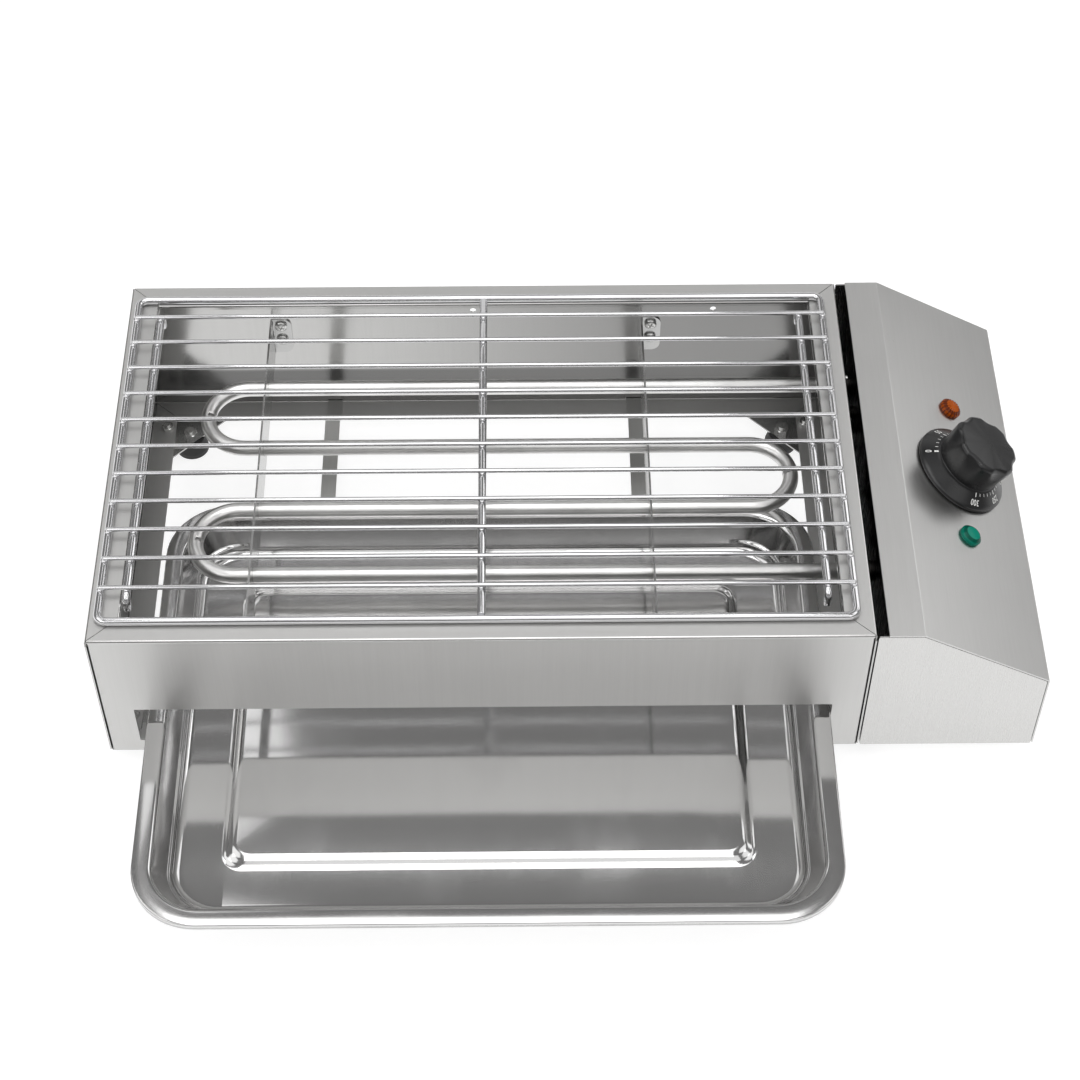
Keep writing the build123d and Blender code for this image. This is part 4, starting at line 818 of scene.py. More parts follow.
def bent_path(
    corners: Sequence[Sequence[float]],
    radius: float,
    closed: bool = False,
    steps: int = 12,
) -> np.ndarray:
    """A wire's middle line: straight runs joined by round bends.

    With u and v the directions in and out of a corner c, and f the angle between them, the bend starts
    at a = c - u r tan(f/2), ends at b = c + v r tan(f/2) and turns about
    m = c + (v - u) r / (|v - u| cos(f/2)). Its points are
    m + (sin((1-t) f) (a-m) + sin(t f) (b-m)) / sin f.

    Args:
        corners: Corners of the path, in millimetres.
        radius: Bend radius.
        closed: Whether the path comes back to its start.
        steps: Steps along each bend.

    Returns:
        The points of the path.
    """
    corners = np.asarray(corners, float)
    count = len(corners)
    points = [] if closed else [corners[:1]]
    t = np.linspace(0.0, 1.0, steps + 1)[:, None]
    for n in range(count) if closed else range(1, count - 1):
        corner = corners[n]
        before = unit(corner - corners[n - 1])
        after = unit(corners[(n + 1) % count] - corner)
        angle = math.acos(float(np.clip(before @ after, -1.0, 1.0)))
        cut = radius * math.tan(angle / 2)
        middle = corner + unit(after - before) * radius / math.cos(angle / 2)
        start, end = corner - before * cut - middle, corner + after * cut - middle
        points.append(middle + (np.sin((1 - t) * angle) * start + np.sin(t * angle) * end) / math.sin(angle))
    if not closed:
        points.append(corners[-1:])
    return np.concatenate(points)


def tube(
    path: np.ndarray,
    radius: float,
    flat: Sequence[float],
    closed: bool = False,
    ball: float = 0.0,
    sides: int = 24,
) -> tuple:
    """Skin of a round wire along a path that lies in one plane.

    A ring's points are p + r (cos a n + sin a (t x n)), with t the path's direction and n the plane's normal.
    At each end the rings shrink over a quarter ellipse of the given length.

    Args:
        path: Middle line, in millimetres.
        radius: Half the wire's thickness.
        flat: Normal of the plane that the path lies in.
        closed: Whether the path closes on itself.
        ball: Length of the rounded ends; 0 for a small break of the edge.
        sides: Points round the wire.

    Returns:
        Points and faces.
    """
    path = np.asarray(path, float)
    if closed:
        along = unit(unit(np.roll(path, -1, 0) - path) + unit(path - np.roll(path, 1, 0)))
    else:
        along = unit(np.gradient(path, axis=0))
    thick = np.full(len(path), radius)
    if not closed:
        rings = 5
        broken = 0.12 * radius
        t = np.linspace(0.05, 1.0, rings) * RIGHT_ANGLE
        core = 0.0 if ball else radius - broken
        grow = core + (radius - core) * np.sin(t)
        inset = (ball or broken) * (1 - np.cos(t))
        first = path[0] + np.outer(inset, along[0])
        last = path[-1] - np.outer(inset, along[-1])
        path = np.concatenate([first, path[1:-1], last[::-1]])
        along = np.concatenate([np.repeat(along[:1], rings, 0), along[1:-1], np.repeat(along[-1:], rings, 0)])
        thick = np.concatenate([grow, np.full(len(path) - 2 * rings, radius), grow[::-1]])
    normal = unit(np.asarray(flat, float))
    other = np.cross(along, normal)
    turn = turns(sides)
    ring = np.cos(turn)[None, :, None] * normal + np.sin(turn)[None, :, None] * other[:, None]
    points = path[:, None] + thick[:, None, None] * ring
    faces = quads(len(path), sides, closed).tolist()
    return points.reshape(-1, 3), faces if closed else faces + end_faces(len(path), sides)


def turned(
    rings: np.ndarray,
    centre: np.ndarray,
    first: np.ndarray,
    second: np.ndarray,
    axis: np.ndarray,
) -> tuple:
    """Skin of rings about an axis, closed by one face at each end.

    A point is c + r (cos a e1 + sin a e2) + h e3, with r and h given for each ring and angle.

    Args:
        rings: Radius and height in the last axis, for each ring and angle.
        centre: Foot of the axis.
        first: Direction of angle 0.
        second: Direction of a right angle.
        axis: Direction of the axis.

    Returns:
        Points and faces.
    """
    count, around = rings.shape[:2]
    turn = turns(around)
    spokes = np.cos(turn)[:, None] * first + np.sin(turn)[:, None] * second
    points = centre + rings[..., :1] * spokes + rings[..., 1:] * axis
    return points.reshape(-1, 3), quads(count, around).tolist() + end_faces(count, around)


def lathe(profile: Sequence[Sequence[float]], around: int) -> np.ndarray:
    """The same radius and height at every angle of each ring."""
    return np.repeat(np.asarray(profile, float)[:, None], around, 1)


def dress(finish: Finish, *nodes: str) -> None:
    """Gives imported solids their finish.

    Args:
        finish: The finish.
        *nodes: Names of the nodes that have it.
    """
    for node in nodes:
        slots = NODES[node].data.materials
        slots.clear()
        slots.append(finish.material())
        log.info("%s: %s", node, finish.name)


def settle(piece: Piece, body: str, slot: str, finish: Finish, *stands_for: str) -> None:
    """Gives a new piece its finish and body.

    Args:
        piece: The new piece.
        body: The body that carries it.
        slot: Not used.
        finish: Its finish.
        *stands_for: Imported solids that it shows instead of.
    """
    piece.data.materials.clear()
    piece.data.materials.append(finish.material())
    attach(piece, body)
    if stands_for:
        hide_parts(*stands_for)
    log.info("%s: %d faces, %s", piece.name, len(piece.data.polygons), finish.name)


@dataclass(frozen=True)
class PanHead:
    """Cross-recessed pan head with its shank.

    Args:
        thread: Thread diameter.
        length: Shank length under the head.
        dome: Height of the head's top over its thread diameter.
        arm: Half width of the cross over the thread diameter.
        sink: Depth of the cross over the thread diameter.
        around: Points round the head.
    """

    thread: float
    length: float
    dome: float = 0.65
    arm: float = 0.11
    sink: float = 0.3
    around: int = 64

    def skin(self, seat: Sequence[float], axis: Sequence[float]) -> tuple:
        """The screw at its seat.

        The head's top is h = dome d (1 - 0.45 (r/d)^4); the cross sinks it where |x| or |y| is under arm d
        and r is under 0.56 d, each with a soft edge.

        Args:
            seat: Middle of the face that the head sits on.
            axis: Direction from the seat to the head's top.

        Returns:
            Points and faces.
        """
        size = self.thread
        reach = np.concatenate([np.linspace(1.0, 0.9, 4), np.linspace(0.86, 0.02, 30)])[:, None] * size
        turn = turns(self.around)
        nearest = np.minimum(np.abs(reach * np.cos(turn)), np.abs(reach * np.sin(turn)))
        groove = np.clip(1.6 - nearest / (self.arm * size) * 1.2, 0.0, 1.0)
        groove = groove * np.clip((0.56 * size - reach) / (0.1 * size), 0.0, 1.0)
        height = self.dome * size * (1 - 0.45 * (reach / size) ** 4) - groove * self.sink * size
        top = np.stack([np.repeat(reach, self.around, 1), height], -1)
        shank = [(0.3, -self.length), (0.48, 0.5 - self.length), (0.48, 0.0), (1.0, 0.0)]
        under = lathe([(share * size, low) for share, low in shank], self.around)
        return turned(np.concatenate([under, top]), np.asarray(seat, float), *square_axes(axis))


@dataclass(frozen=True)
class HexNut:
    """Hexagon nut with chamfered corners.

    Args:
        flats: Width across the flats.
        bore: Hole diameter.
        height: Height of the nut.
        around: Points round the nut.
    """

    flats: float
    bore: float
    height: float
    around: int = 72

    def skin(self, seat: Sequence[float], axis: Sequence[float]) -> tuple:
        """The nut on its seat.

        Its outline is r = f / (2 cos a), a being the angle to the nearest flat, cut back to 0.505 f at each
        end face.

        Args:
            seat: Middle of the face that it sits on.
            axis: Direction of its hole.

        Returns:
            Points and faces.
        """
        flat = self.flats / 2 / np.cos((turns(self.around) + math.pi / 6) % (math.pi / 3) - math.pi / 6)
        rim = np.minimum(flat, self.flats / 2 * 1.01)
        drop = (flat - rim) * 0.5
        hole = np.full(self.around, self.bore / 2)
        tall = self.height
        rows = [(hole, 0.0), (rim, 0.0), (flat, drop), (flat, tall - drop), (rim, tall), (hole, tall)]
        rings = np.stack([np.stack(np.broadcast_arrays(*row), -1) for row in rows])
        points, faces = turned(rings, np.asarray(seat, float), *square_axes(axis))
        last = (len(rows) - 1) * self.around
        steps = [(n, (n + 1) % self.around) for n in range(self.around)]
        return points, faces[:-2] + [[last + n, last + after, after, n] for n, after in steps]


@dataclass
class CookingBox:
    """Folded sheet walls, their corners, feet and straps.

    Args:
        back: Outer face of the back panel, in millimetres.
        sheet: Thickness of the panels.
        strip: Thickness of the element supports.
        screw_x: Places of the support screws along X.
        screw_z: Their heights.
        gusset_x: Places of the gusset nuts along X.
        gusset_y: Their places along Y.
        foot_x: Places of the foot nuts along X.
        foot_y: Their places along Y.
        floor: Upper face of the bottom folds.
    """

    back: float = 211.3
    sheet: float = 1.0
    strip: float = 1.2
    screw_x: tuple = (-190.3, 57.0)
    screw_z: tuple = (89.9, 77.1)
    gusset_x: tuple = (-273.0, 165.0)
    gusset_y: tuple = (-53.2, 185.8)
    foot_x: tuple = (-257.0, 149.0)
    foot_y: tuple = (-47.7, 180.3)
    floor: float = 12.5

    def screws(self) -> Piece:
        """Cross-recessed screws inside the back panel."""
        seats = [(x, self.back - self.sheet - self.strip, z) for x in self.screw_x for z in self.screw_z]
        return joined("support_pan_screws", [PanHead(4.0, 8.0).skin(seat, (0, -1, 0)) for seat in seats])

    def nuts(self, name: str, nut: HexNut, places: tuple, height: float) -> Piece:
        """Four nuts on the bottom folds or corner plates.

        Args:
            name: The piece's name.
            nut: The nut.
            places: Their places along X and along Y.
            height: Height of the faces that they sit on.

        Returns:
            The nuts as one piece.
        """
        seats = [(x, y, height) for x in places[0] for y in places[1]]
        return joined(name, [nut.skin(seat, (0, 0, 1)) for seat in seats], False)

    def dress(self) -> None:
        """Gives each sheet and fastener its finish."""
        dress(END_SHEET, "front_panel", "back_panel")
        dress(SIDE_SHEET, "left_side_panel", "right_side_panel")
        dress(STEEL_PLAIN, "corner_gussets", "left_element_support", "right_element_support")
        dress(STEEL_STRIP, "tray_straps")
        dress(RUBBER, "rubber_feet")
        dress(PLATED, "gusset_screws", "foot_screws", "support_nuts", "side_screw")
        settle(self.screws(), "housing", "support_screws", PLATED, "support_screws")
        gusset, foot = (self.gusset_x, self.gusset_y), (self.foot_x, self.foot_y)
        small = self.nuts("gusset_hex_nuts", HexNut(7.0, 4.0, 3.2), gusset, self.floor + self.sheet)
        settle(small, "housing", "gusset_nuts", PLATED, "gusset_nuts")
        large = self.nuts("foot_hex_nuts", HexNut(8.75, 5.0, 4.0), foot, self.floor)
        settle(large, "housing", "foot_nuts", PLATED, "foot_nuts")


@dataclass
class Heating:
    """The bent tube with its ends.

    Args:
        left: Corner of the left bends along X, in millimetres.
        right: Corner of the right bend along X.
        end: Where the tube ends in the control box.
        passes: Places of the four straight runs along Y.
        height: Middle of the tube.
        bend: Radius of the bends.
        radius: Half the tube's thickness.
    """

    left: float = -234.0
    right: float = 142.0
    end: float = 206.2
    passes: tuple = (5.3, 57.4, 109.5, 161.6)
    height: float = 79.5
    bend: float = 26.05
    radius: float = 5.0

    def build(self) -> Piece:
        """The tube along its four passes.

        Returns:
            The tube.
        """
        ends = (self.end, self.left, self.left, self.right, self.right, self.left, self.left, self.end)
        corners = [(x, y, self.height) for x, y in zip(ends, np.repeat(self.passes, 2))]
        path = bent_path(corners, self.bend, steps=18)
        return joined("heating_tube", [tube(path, self.radius, (0, 0, 1), sides=40)])

    def dress(self) -> None:
        """Shows the smooth tube and gives the end pieces their finishes."""
        settle(self.build(), "housing", "heating_element", TUBE_SATIN, "heating_element")
        # The bushes are painted near-black as shade
        dress(SHADE_DARK_METAL, "element_bushes")
        dress(TURNED, "element_nuts")
        dress(CERAMIC, "element_insulators")
        dress(PLATED, "element_terminals")


@dataclass
class DripTray:
    """Deep-drawn pan with a flat rim and a raised floor panel.

    Args:
        middle: Centre of the tray, in millimetres.
        half: Half width and half depth.
        top: Height of the rim's upper face.
        bottom: Height of the pan's underside.
        sheet: Sheet thickness.
        rim: Width of the rim.
        lip: Height of the turned-down lip.
        draft: How far the wall leans in from the rim to the floor.
        margin: Width of the floor round the raised panel.
        extra: What the margin has more at the front and back.
        step: Width of the slope up to the raised panel.
        rise: Height of the raised panel.
        reach: How far the skin's rings run in over the panel.
        cuts: Roundings of the profile, from the lip to the panel.
        inner: How far in over the panel its corners grow tighter.
        radii: Corner radii at the lip, where the rim, wall, margin and step end, and inside the panel.
    """

    middle: tuple = (-50.6, -68.0)
    half: tuple = (207.0, 155.3)
    top: float = 49.0
    bottom: float = 25.1
    sheet: float = 0.8
    rim: float = 11.0
    lip: float = 4.0
    draft: float = 10.9
    margin: float = 28.0
    extra: float = 1.8
    step: float = 5.5
    rise: float = 3.0
    reach: float = 40.0
    cuts: tuple = (1.1, 2.2, 5.0, 2.2, 2.6)
    inner: float = 34.6
    radii: tuple = (40.0, 31.0, 27.0, 12.0, 9.25, 6.0)

    def profile(self) -> np.ndarray:
        """Inset and height of the upper skin, from the lip over the rim, down the wall and over the floor.

        Returns:
            The profile's points.
        """
        floor = self.bottom + self.sheet
        foot = self.rim + self.draft
        edge = foot + self.margin
        panel = edge + self.step
        corners = [
            (0.05, self.top - self.lip),
            (0.05, self.top),
            (self.rim, self.top),
            (foot, floor),
            (edge, floor),
            (panel, floor + self.rise),
            (panel + self.reach, floor + self.rise),
        ]
        return round_profile(corners, self.cuts, 8)

    def build(self) -> Piece:
        """The pan as two skins joined at the lip's end.

        The lower skin is the upper one moved by the sheet along the profile's normal n = (dz, -ds)/|d|.

        Returns:
            The tray.
        """
        upper = self.profile()
        slope = unit(np.gradient(upper, axis=0))
        lower = upper + self.sheet * np.stack([slope[:, 1], -slope[:, 0]], -1)
        lower[:, 0] = np.maximum(lower[:, 0], 0.0)
        inset, height = np.concatenate([lower[::-1], upper]).T
        knots = np.cumsum([0.0, self.rim, self.draft, self.margin, self.step, self.inner])
        radius = np.interp(inset, knots, self.radii)
        extra = np.interp(inset, knots[2:4], (0.0, self.extra))
        outline = rounded_outline(self.half[0] - inset, self.half[1] - inset - extra, radius)
        rings, around = outline.shape[:2]
        heights = np.broadcast_to(height[:, None, None], (rings, around, 1))
        points = np.concatenate([outline + self.middle, heights], -1).reshape(-1, 3)
        faces = quads(rings, around)[:, ::-1].tolist()
        ends = [list(range(around)), list(range((rings - 1) * around, rings * around))]
        return joined("drip_tray_pan", [(points, faces + ends)])

    def dress(self) -> None:
        """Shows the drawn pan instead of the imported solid."""
        settle(self.build(), "tray", "drip_tray", TRAY_STEEL, "drip_tray")


@dataclass
class Rack:
    """Chromed wires lying on the box.

    Args:
        across: Middles of the loop's left and right wires, in millimetres.
        along: Middles of the loop's front and back wires.
        height: Middle of the thick wires.
        thick: Diameter of the loop and the long wires.
        thin: Diameter of the cross wires.
        corner: Radius of the loop's corners.
        long_x: Places of the long wires.
        hook_y: Places of the hooks' upright ends.
        hook_drop: How far the hooks reach down from the wires' middle.
        hook_bend: Radius of the hooks' bends.
        first: Place of the front cross wire.
        pitch: Distance from one cross wire to the next.
        count: Number of cross wires.
        overhang: How far the cross wires run past the loop's middles.
        bead: Half the length, width and height of a weld bead.
    """

    across: tuple = (-278.5, 166.0)
    along: tuple = (-65.7, 196.3)
    height: float = 127.3
    thick: float = 5.0
    thin: float = 3.0
    corner: float = 5.5
    long_x: tuple = (-263.0, -54.0, 150.5)
    hook_y: tuple = (-49.2, 181.8)
    hook_drop: float = 10.0
    hook_bend: float = 5.0
    first: float = -43.8
    pitch: float = 22.1
    count: int = 11
    overhang: float = 1.0
    bead: tuple = (1.9, 2.1, 1.0)

    def loop(self) -> list:
        """The outer wire with its four round corners.

        Returns:
            The skin of the wire.
        """
        (left, right), (front, back) = self.across, self.along
        square = ((left, front), (right, front), (right, back), (left, back))
        corners = [(x, y, self.height) for x, y in square]
        return [tube(bent_path(corners, self.corner, True, 8), self.thick / 2, (0, 0, 1), True)]

    def long_wires(self) -> list:
        """The two hooked wires and the straight one between them.

        Returns:
            The skins of the wires.
        """
        front, back = self.hook_y
        low = self.height - self.hook_drop
        skins = []
        for x in self.long_x[::2]:
            corners = [(x, front, low), (x, front, self.height), (x, back, self.height), (x, back, low)]
            skins.append(tube(bent_path(corners, self.hook_bend), self.thick / 2, (1, 0, 0), ball=0.8))
        start, end = self.along[0] + self.thick / 2, self.along[1] - self.thick / 2
        middle = [(self.long_x[1], y, self.height) for y in np.linspace(start, end, 4)]
        return [*skins, tube(middle, self.thick / 2, (1, 0, 0))]

    def cross_wires(self) -> list:
        """The thin wires with their rounded ends.

        Returns:
            The skins of the wires.
        """
        height = self.height + (self.thick + self.thin) / 2
        reach = np.linspace(self.across[0] - self.overhang, self.across[1] + self.overhang, 5)
        places = [self.first + n * self.pitch for n in range(self.count)]
        paths = [[(x, y, height) for x in reach] for y in places]
        return [tube(path, self.thin / 2, (0, 0, 1), ball=1.1, sides=16) for path in paths]

    def welds(self) -> list:
        """Flattened beads where the cross wires meet the thick ones.

        A bead is the ellipsoid (p sin b cos a, q sin b sin a, s cos b) of its half sizes p, q and s.

        Returns:
            The skins of the beads.
        """
        height = self.height + self.thick / 2
        b = np.linspace(0.08, math.pi - 0.08, 9)
        rings = lathe(np.stack([np.sin(b), np.cos(b)], -1), 16)
        wires = (self.across[0], *self.long_x, self.across[1])
        centres = [(x, self.first + n * self.pitch, height) for x in wires for n in range(self.count)]
        return [turned(rings, np.array(centre), *np.diag(self.bead)) for centre in centres]

    def dress(self) -> None:
        """Shows the smooth wires and their welds."""
        loop = joined("rack_loop", self.loop())
        settle(loop, "rack", "rack_outer_wire", CHROME_WIRE, "rack_outer_wire")
        long_rods = joined("rack_long_rods", self.long_wires())
        settle(long_rods, "rack", "rack_long_wires", CHROME_WIRE, "rack_long_wires")
        cross_rods = joined("rack_cross_rods", self.cross_wires())
        settle(cross_rods, "rack", "rack_cross_wires", CHROME_WIRE, "rack_cross_wires")
        settle(joined("rack_weld_beads", self.welds()), "rack", "rack_cross_wires", CHROME_WIRE)


@dataclass
class Knob:
    """Knob with a bevelled dial skirt, a grip with seven soft lobes and printed numbers.

    Args:
        skirt: Radius of the skirt.
        lip: Heights of the skirt's upright edge.
        grip: Radius of the grip at its foot and at its top.
        bevel_end: Radius where the bevel meets the grip.
        foot: Height where the bevel meets the grip.
        tall: Height of the grip's rim.
        edge: Radius of the rounded rim.
        crown: Rise of the top's middle.
        hollow: Radius and height of the hollow under the skirt.
        lobes: Number of lobes.
        valley: Angle of one scallop, in degrees.
        scallop: Radius of the scallops.
        depth: Depth of the scallops at the top.
        lean: How much shallower they get for each millimetre down.
        over: How far over the rim they have their full depth.
        soft: Width of the soft edge between scallop and grip.
        around: Points round the knob.
        marks: The dial's numbers and their angles, in degrees.
        divisions: Steps between two numbers.
        digit: Size of the numbers.
        narrow: Share of their width that is left.
        stroke: How much their strokes are thickened.
        spacing: Space from digit to digit over the typeface's own.
        digit_place: Radius of the numbers' middles.
        long_tick: Inner end, outer end and width of the ticks at the numbers.
        short_tick: The same for the ticks between them.
        zero_wide: Width of the tick at 0.
        ink: Heights of the print's underside and face over the bevel.
    """

    skirt: float = 31.5
    lip: tuple = (0.5, 3.0)
    grip: tuple = (21.0, 22.5)
    bevel_end: float = 21.7
    foot: float = 9.0
    tall: float = 30.0
    edge: float = 3.2
    crown: float = 0.8
    hollow: tuple = (27.5, 4.0)
    lobes: int = 7
    valley: float = 81.0
    scallop: float = 16.0
    depth: float = 2.5
    lean: float = 0.15
    over: float = 2.0
    soft: float = 0.35
    around: int = 252
    marks: tuple = ((0, 177.0), (50, 128.0), (100, 86.0), (150, 44.0), (200, 2.0), (250, -40.0), (300, -81.5))
    divisions: int = 5
    digit: float = 4.83
    narrow: float = 0.86
    stroke: float = 0.03
    spacing: float = 1.06
    digit_place: float = 27.6
    long_tick: tuple = (22.4, 24.7, 0.62)
    short_tick: tuple = (22.6, 24.2, 0.36)
    zero_wide: float = 1.3
    ink: tuple = (0.02, 0.07)

    def grip_radius(self, height: np.ndarray) -> np.ndarray:
        """Radius of the grip with its scallops.

        A scallop is a circle of radius s whose middle lies at d = r - depth + s + lean (tall + over - h), so
        that it leaves d cos a - sqrt(s^2 - d^2 sin^2 a); the soft smaller of this and the grip's own
        radius is -k log(exp(-r1/k) + exp(-r2/k)).

        Args:
            height: Heights, one for each ring.

        Returns:
            Radii for each ring and angle.
        """
        base = np.interp(height, (self.foot, self.tall - self.edge), self.grip)[:, None]
        shallower = self.lean * (self.tall + self.over - height)[:, None]
        far = self.grip[1] - self.depth + self.scallop + shallower
        lobe = FULL_TURN / self.lobes
        away = (turns(self.around) - math.radians(self.valley) + lobe / 2) % lobe - lobe / 2
        side = far * np.sin(away)
        chord = far * np.cos(away) - np.sqrt(np.maximum(self.scallop ** 2 - side ** 2, 0.0))
        cut = np.where(np.abs(side) < self.scallop, chord, np.inf)
        lowest = np.minimum(base, cut)
        nearness = np.exp((lowest - base) / self.soft) + np.exp((lowest - cut) / self.soft)
        return lowest - self.soft * np.log(nearness)

    def build(self) -> Piece:
        """The knob as one skin of rings about its axis.

        Returns:
            The knob.
        """
        rim, deep = self.hollow
        low, high = self.lip
        skirt, shoulder = self.skirt, self.tall - self.edge
        hollow = [(3.5, deep), (rim, deep), (rim, low + 0.01), (rim, low)]
        upright = [(skirt - 0.3, low), (skirt, low + 0.3), (skirt, high - 0.3), (skirt - 0.25, high + 0.05)]
        share = np.linspace(0.04, 1.0, 6)
        bevel = np.stack([skirt - share * (skirt - self.bevel_end), high + share * (self.foot - high)], -1)
        skirt_rings = lathe([*hollow, *upright, *bevel], self.around)
        start = [self.foot + 0.02, self.foot + 0.4]
        heights = np.concatenate([start, np.linspace(self.foot + 1.2, shoulder, 22)])
        wall = np.stack(np.broadcast_arrays(self.grip_radius(heights), heights[:, None]), -1)
        top = self.grip_radius(np.array([shoulder]))
        t = np.linspace(0.0, RIGHT_ANGLE, 12)[1:, None]
        edge = (top - self.edge * (1 - np.cos(t)), self.tall - self.edge * (1 - np.sin(t)))
        share = np.linspace(0.96, 0.03, 14)[:, None]
        crown = ((top - self.edge) * share, self.tall + self.crown * (1 - share ** 2))
        rounds = [np.stack(np.broadcast_arrays(*part), -1) for part in (edge, crown)]
        rings = np.concatenate([skirt_rings, wall, *rounds])
        return joined("dial_knob", [turned(rings, SLOPE_MIDDLE, SLOPE_DOWN, ACROSS, SLOPE_OUT)])

    def on_bevel(self, mark: np.ndarray, angle: float, radius: float) -> np.ndarray:
        """Points of a flat mark laid on the skirt's bevel.

        A point (u, v) lands at radius r + v and angle a - u / r, on the cone that falls evenly from the
        grip's foot to the skirt's edge.

        Args:
            mark: Sideways place, outward place and height over the bevel of each point.
            angle: Angle of the mark's middle, in degrees.
            radius: Radius of the mark's middle.

        Returns:
            The points.
        """
        across, outward, lift = mark.T
        reach = radius + outward
        turn = math.radians(angle) - across / radius
        slope = (self.foot - self.lip[1]) / (self.skirt - self.bevel_end)
        height = self.lip[1] + (self.skirt - reach) * slope + lift
        spokes = np.cos(turn)[:, None] * SLOPE_DOWN + np.sin(turn)[:, None] * ACROSS
        return SLOPE_MIDDLE + reach[:, None] * spokes + height[:, None] * SLOPE_OUT

    def bar(self, angle: float, start: float, end: float, wide: float) -> tuple:
        """A printed bar.

        Args:
            angle: Its angle, in degrees.
            start: Radius of its inner end.
            end: Radius of its outer end.
            wide: Its width.

        Returns:
            Points and faces.
        """
        across = np.array([-1, 1, 1, -1] * 2) * wide / 2
        outward = np.array([-1, -1, 1, 1] * 2) * (end - start) / 2
        mark = np.stack([across, outward, np.repeat(self.ink, 4)], -1)
        faces = [[3, 2, 1, 0], [4, 5, 6, 7], [0, 1, 5, 4], [1, 2, 6, 5], [2, 3, 7, 6], [3, 0, 4, 7]]
        return self.on_bevel(mark, angle, (start + end) / 2), faces

    def number(self, text: str, angle: float) -> tuple:
        """A plain number laid on the bevel, its top outward.

        Args:
            text: The number.
            angle: Its angle, in degrees.

        Returns:
            Points and faces.
        """
        curve = bpy.data.curves.new("number " + text, "FONT")
        low, high = self.ink
        curve.body, curve.size, curve.extrude = text, self.digit, (high - low) / 2
        curve.align_x, curve.align_y = "CENTER", "CENTER"
        curve.resolution_u = 3
        curve.offset, curve.space_character = self.stroke, self.spacing
        holder = bpy.data.objects.new("number " + text, curve)
        bpy.context.scene.collection.objects.link(holder)
        bpy.context.view_layer.update()
        mesh = bpy.data.meshes.new_from_object(holder.evaluated_get(bpy.context.evaluated_depsgraph_get()))
        flat = np.empty(len(mesh.vertices) * 3)
        mesh.vertices.foreach_get("co", flat)
        mark = flat.reshape(-1, 3) * (self.narrow, 1.0, 1.0) + (0.0, 0.0, (low + high) / 2)
        faces = [list(face.vertices) for face in mesh.polygons]
        bpy.data.objects.remove(holder)
        bpy.data.curves.remove(curve)
        bpy.data.meshes.remove(mesh)
        return self.on_bevel(mark, angle, self.digit_place), faces

    def print_marks(self) -> Piece:
        """The dial's numbers and ticks.

        Returns:
            The print as one piece.
        """
        skins = []
        for value, angle in self.marks:
            skins.append(self.number(str(value), angle))
            start, end, wide = self.long_tick
            skins.append(self.bar(angle, start, end, wide if value else self.zero_wide))
        for (_, start), (_, end) in zip(self.marks[:-1], self.marks[1:]):
            for step in range(1, self.divisions):
                skins.append(self.bar(start + (end - start) * step / self.divisions, *self.short_tick))
        return joined("dial_marks", skins, False)

    def dress(self) -> None:
        """Shows the scalloped knob and its print."""
        settle(self.build(), "knob", "thermostat_knob", KNOB_BLACK, "thermostat_knob")
        settle(self.print_marks(), "knob", "thermostat_knob", PRINT)


@dataclass
class Lamp:
    """Lamp lens on the slope.

    Args:
        name: The piece's name.
        finish: The clear plastic.
        radius: Radius of the lens.
        tall: Height of the lens over the slope.
        bevel: Width of the bevel.
        steep: Height of the bevel over its width.
        dome: Rise of the dome.
        stem: Radius and length of the stem.
        rib: Depth of the grooves between the ribs.
        around: Points round the lens.
    """

    name: str
    finish: LampGlass
    radius: float = 7.25
    tall: float = 4.5
    bevel: float = 2.2
    steep: float = 0.9
    dome: float = 0.25
    stem: tuple = (4.8, 9.0)
    rib: float = 0.22
    around: int = 144

    def build(self) -> Piece:
        """The lens: bevelled rim, low dome and stem.

        Where the finish has n rays, the bevel and dome sink by rib (1 - cos(n a)) r / R.

        Returns:
            The lens.
        """
        radius, (stem, length) = self.radius, self.stem
        low = self.tall - self.bevel
        foot = [(1.0, -length), (stem, -length), (stem, 0.01), (radius - 0.2, 0.01), (radius, 0.2)]
        edge = [(radius, low - 0.2), (radius - 0.12, low + 0.02)]
        share = np.linspace(0.15, 0.95, 5)
        bevel = np.stack([radius - share * self.bevel, low + share * self.bevel * self.steep], -1)
        share = np.linspace(0.97, 0.04, 9)
        dome = np.stack([(radius - self.bevel) * share, self.tall - self.dome * share ** 2], -1)
        rings = lathe([*foot, *edge, *bevel, *dome], self.around)
        above = np.clip(rings[..., 1] - low, 0.0, 1.0)
        groove = self.rib * (1 - np.cos(self.finish.rays * turns(self.around)))
        rings[..., 1] -= groove * above * rings[..., 0] / radius
        centre = SLOPE_MIDDLE + ACROSS * self.finish.sideways
        return joined(self.name, [turned(rings, centre, SLOPE_DOWN, ACROSS, SLOPE_OUT)])

    def dress(self, node: str) -> None:
        """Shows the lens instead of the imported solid."""
        settle(self.build(), "housing", node, self.finish, node)


@dataclass
class ControlBox:
    """The box of the thermostat at the right end."""

    def dress(self) -> None:
        """Gives each sheet and fitting its finish."""
        dress(CHASSIS_SHEET, "control_chassis", "control_inner_wall")
        dress(COVER_SHEET, "control_cover")
        # The standoffs and bulb parts are painted near-black as shade
        dress(SHADE_DARK_METAL, "joining_standoffs", "thermostat_bulb", "bulb_clips")
        dress(PLATED, "joining_screws", "base_screws", "thermostat_screws", "lamp_clips")
        dress(CERAMIC, "terminal_block")
        dress(BRASS, "earth_screw", "earth_nut")
        dress(RUBBER, "cord_bush", "cord_bush_nut")
        dress(CASE_DARK, "thermostat_body")
        dress(TURNED, "thermostat_shaft")
        dress(CASE_WHITE, "lamp_housings")
        Knob().dress()
        Lamp("amber_lens", AMBER).dress("amber_lamp_lens")
        Lamp("green_lens", GREEN).dress("green_lamp_lens")


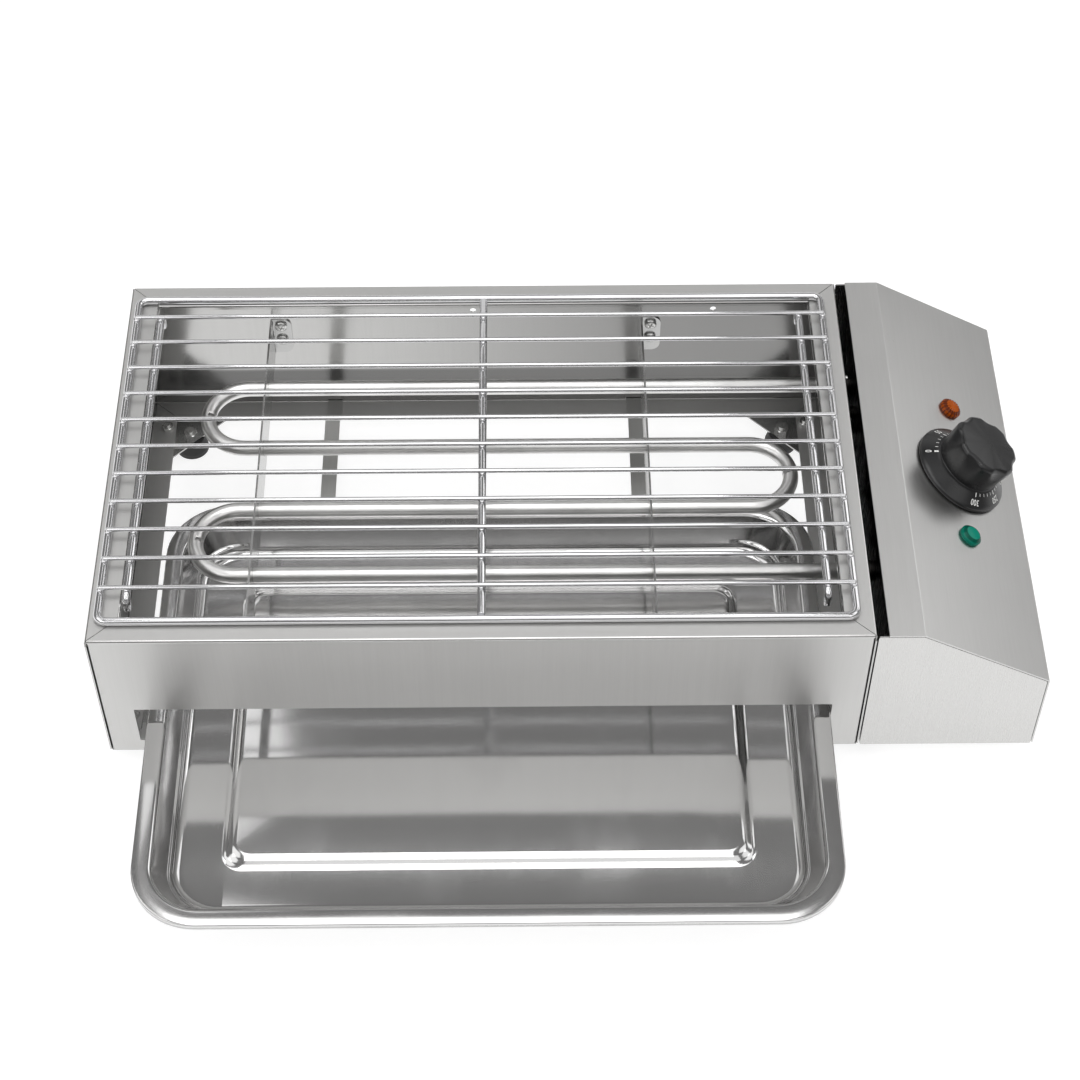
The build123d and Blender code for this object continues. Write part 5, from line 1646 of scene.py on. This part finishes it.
@dataclass(frozen=True)
class Softbox:
    """A soft area light that faces the grill.

    Args:
        name: The light's name.
        place: Where it hangs, in metres.
        size: Its two sides, in metres.
        power: Its power, in watts.
        target: The point that it faces, in metres.
    """

    name: str
    place: tuple
    size: tuple
    power: float
    target: tuple = (0.0, 0.0, 0.05)

    def hang(self) -> None:
        """Makes the light and aims it at its target."""
        data = bpy.data.lights.new(self.name, "AREA")
        data.shape = "RECTANGLE"
        data.size, data.size_y = self.size
        data.energy = self.power
        lamp = bpy.data.objects.new(self.name, data)
        lamp.location = self.place
        aim = Vector(self.target) - Vector(self.place)
        lamp.rotation_euler = aim.to_track_quat("-Z", "Y").to_euler()
        bpy.context.scene.collection.objects.link(lamp)


SOFTBOXES = (
    Softbox("softbox overhead", (-0.1, 0.0, 1.9), (1.6, 1.0), 12.4),
    Softbox("softbox front", (0.31, -1.3, 1.88), (1.6, 1.5), 6.2),
    Softbox("softbox front left", (-1.2, -1.3, 1.6), (1.2, 1.1), 5.2),
    Softbox("softbox right", (1.75, 1.05, 1.05), (1.1, 0.9), 3.6),
    Softbox("softbox back right", (0.74, 0.86, 1.12), (0.42, 0.6), 1.0),
    Softbox("softbox back left", (-0.54, 0.9, 1.2), (0.24, 0.6), 0.42),
    Softbox("softbox left", (-1.25, -0.4, 1.15), (1.1, 0.8), 3.0),
    Softbox("softbox upper left", (-1.05, 0.3, 1.6), (0.8, 0.7), 1.9),
    Softbox("softbox upper right", (0.92, 0.25, 1.55), (0.6, 0.6), 1.2),
    Softbox("softbox near right", (1.15, -0.35, 1.15), (0.9, 0.7), 1.9),
    Softbox("softbox back low", (-0.1, 1.1, 0.6), (1.5, 0.5), 1.3),
    Softbox("softbox front right", (0.9, -1.25, 1.25), (0.7, 0.7), 1.5),
)


@dataclass
class Studio:
    """Pale floor, soft lights and the camera.

    Args:
        lens: Focal length on a 36 mm film, in millimetres.
        place: The camera's place, in metres.
        turn: The camera's turn about X, Y and Z.
        half_floor: Half the floor's width, in millimetres.
        under: How far the floor lies under the feet, in millimetres.
        floor_glow: Light that the floor gives by itself.
        surround: Brightness of the surround.
    """

    lens: float = 78.38
    place: tuple = (-0.027626, -0.89201, 1.224775)
    turn: tuple = (0.67866968, 0.0000592, -0.00970695)
    half_floor: float = 6000.0
    under: float = 0.02
    floor_glow: float = 0.76
    surround: float = 0.22

    def floor(self) -> None:
        """A plain white floor under the feet."""
        signs = ((-1, -1), (1, -1), (1, 1), (-1, 1))
        corners = [(x * self.half_floor, y * self.half_floor, -self.under) for x, y in signs]
        piece = as_mesh("studio_floor", corners, [(0, 1, 2, 3)], False)
        graph = Graph("white studio floor")
        grain = graph.noise(3.0, 2.0, 0.5)
        colour = graph.blend(grain, (0.4, 0.4, 0.4), (0.42, 0.42, 0.42))
        piece.data.materials.append(graph.surface(
            {"Emission Color": (1.0, 1.0, 1.0, 1.0), "Emission Strength": self.floor_glow},
            {"Base Color": colour, "Roughness": 0.8 + grain * 0.1},
        ))

    def sky(self) -> None:
        """An even grey surround."""
        world = bpy.data.worlds.new("studio surround")
        bpy.context.scene.world = world
        world.use_nodes = True
        inputs = world.node_tree.nodes["Background"].inputs
        inputs["Color"].default_value = (1.0, 0.99, 0.985, 1.0)
        inputs["Strength"].default_value = self.surround

    def camera(self) -> None:
        """The camera at the photograph's angle."""
        data = bpy.data.cameras.new("studio camera")
        data.lens = self.lens
        data.sensor_width = 36.0
        data.clip_start, data.clip_end = 0.05, 60.0
        camera = bpy.data.objects.new("studio camera", data)
        camera.location = self.place
        camera.rotation_euler = Euler(self.turn, "XYZ")
        bpy.context.scene.collection.objects.link(camera)
        bpy.context.scene.camera = camera

    def build(self) -> None:
        """Sets up floor, surround, lights and camera."""
        self.floor()
        self.sky()
        for softbox in SOFTBOXES:
            softbox.hang()
        self.camera()
        bpy.context.scene.view_settings.view_transform = "Standard"


def main() -> None:
    """Dresses every part of the grill and sets the studio."""
    Studio().build()
    CookingBox().dress()
    Heating().dress()
    DripTray().dress()
    Rack().dress()
    ControlBox().dress()


if __name__ == "__main__":
    main()
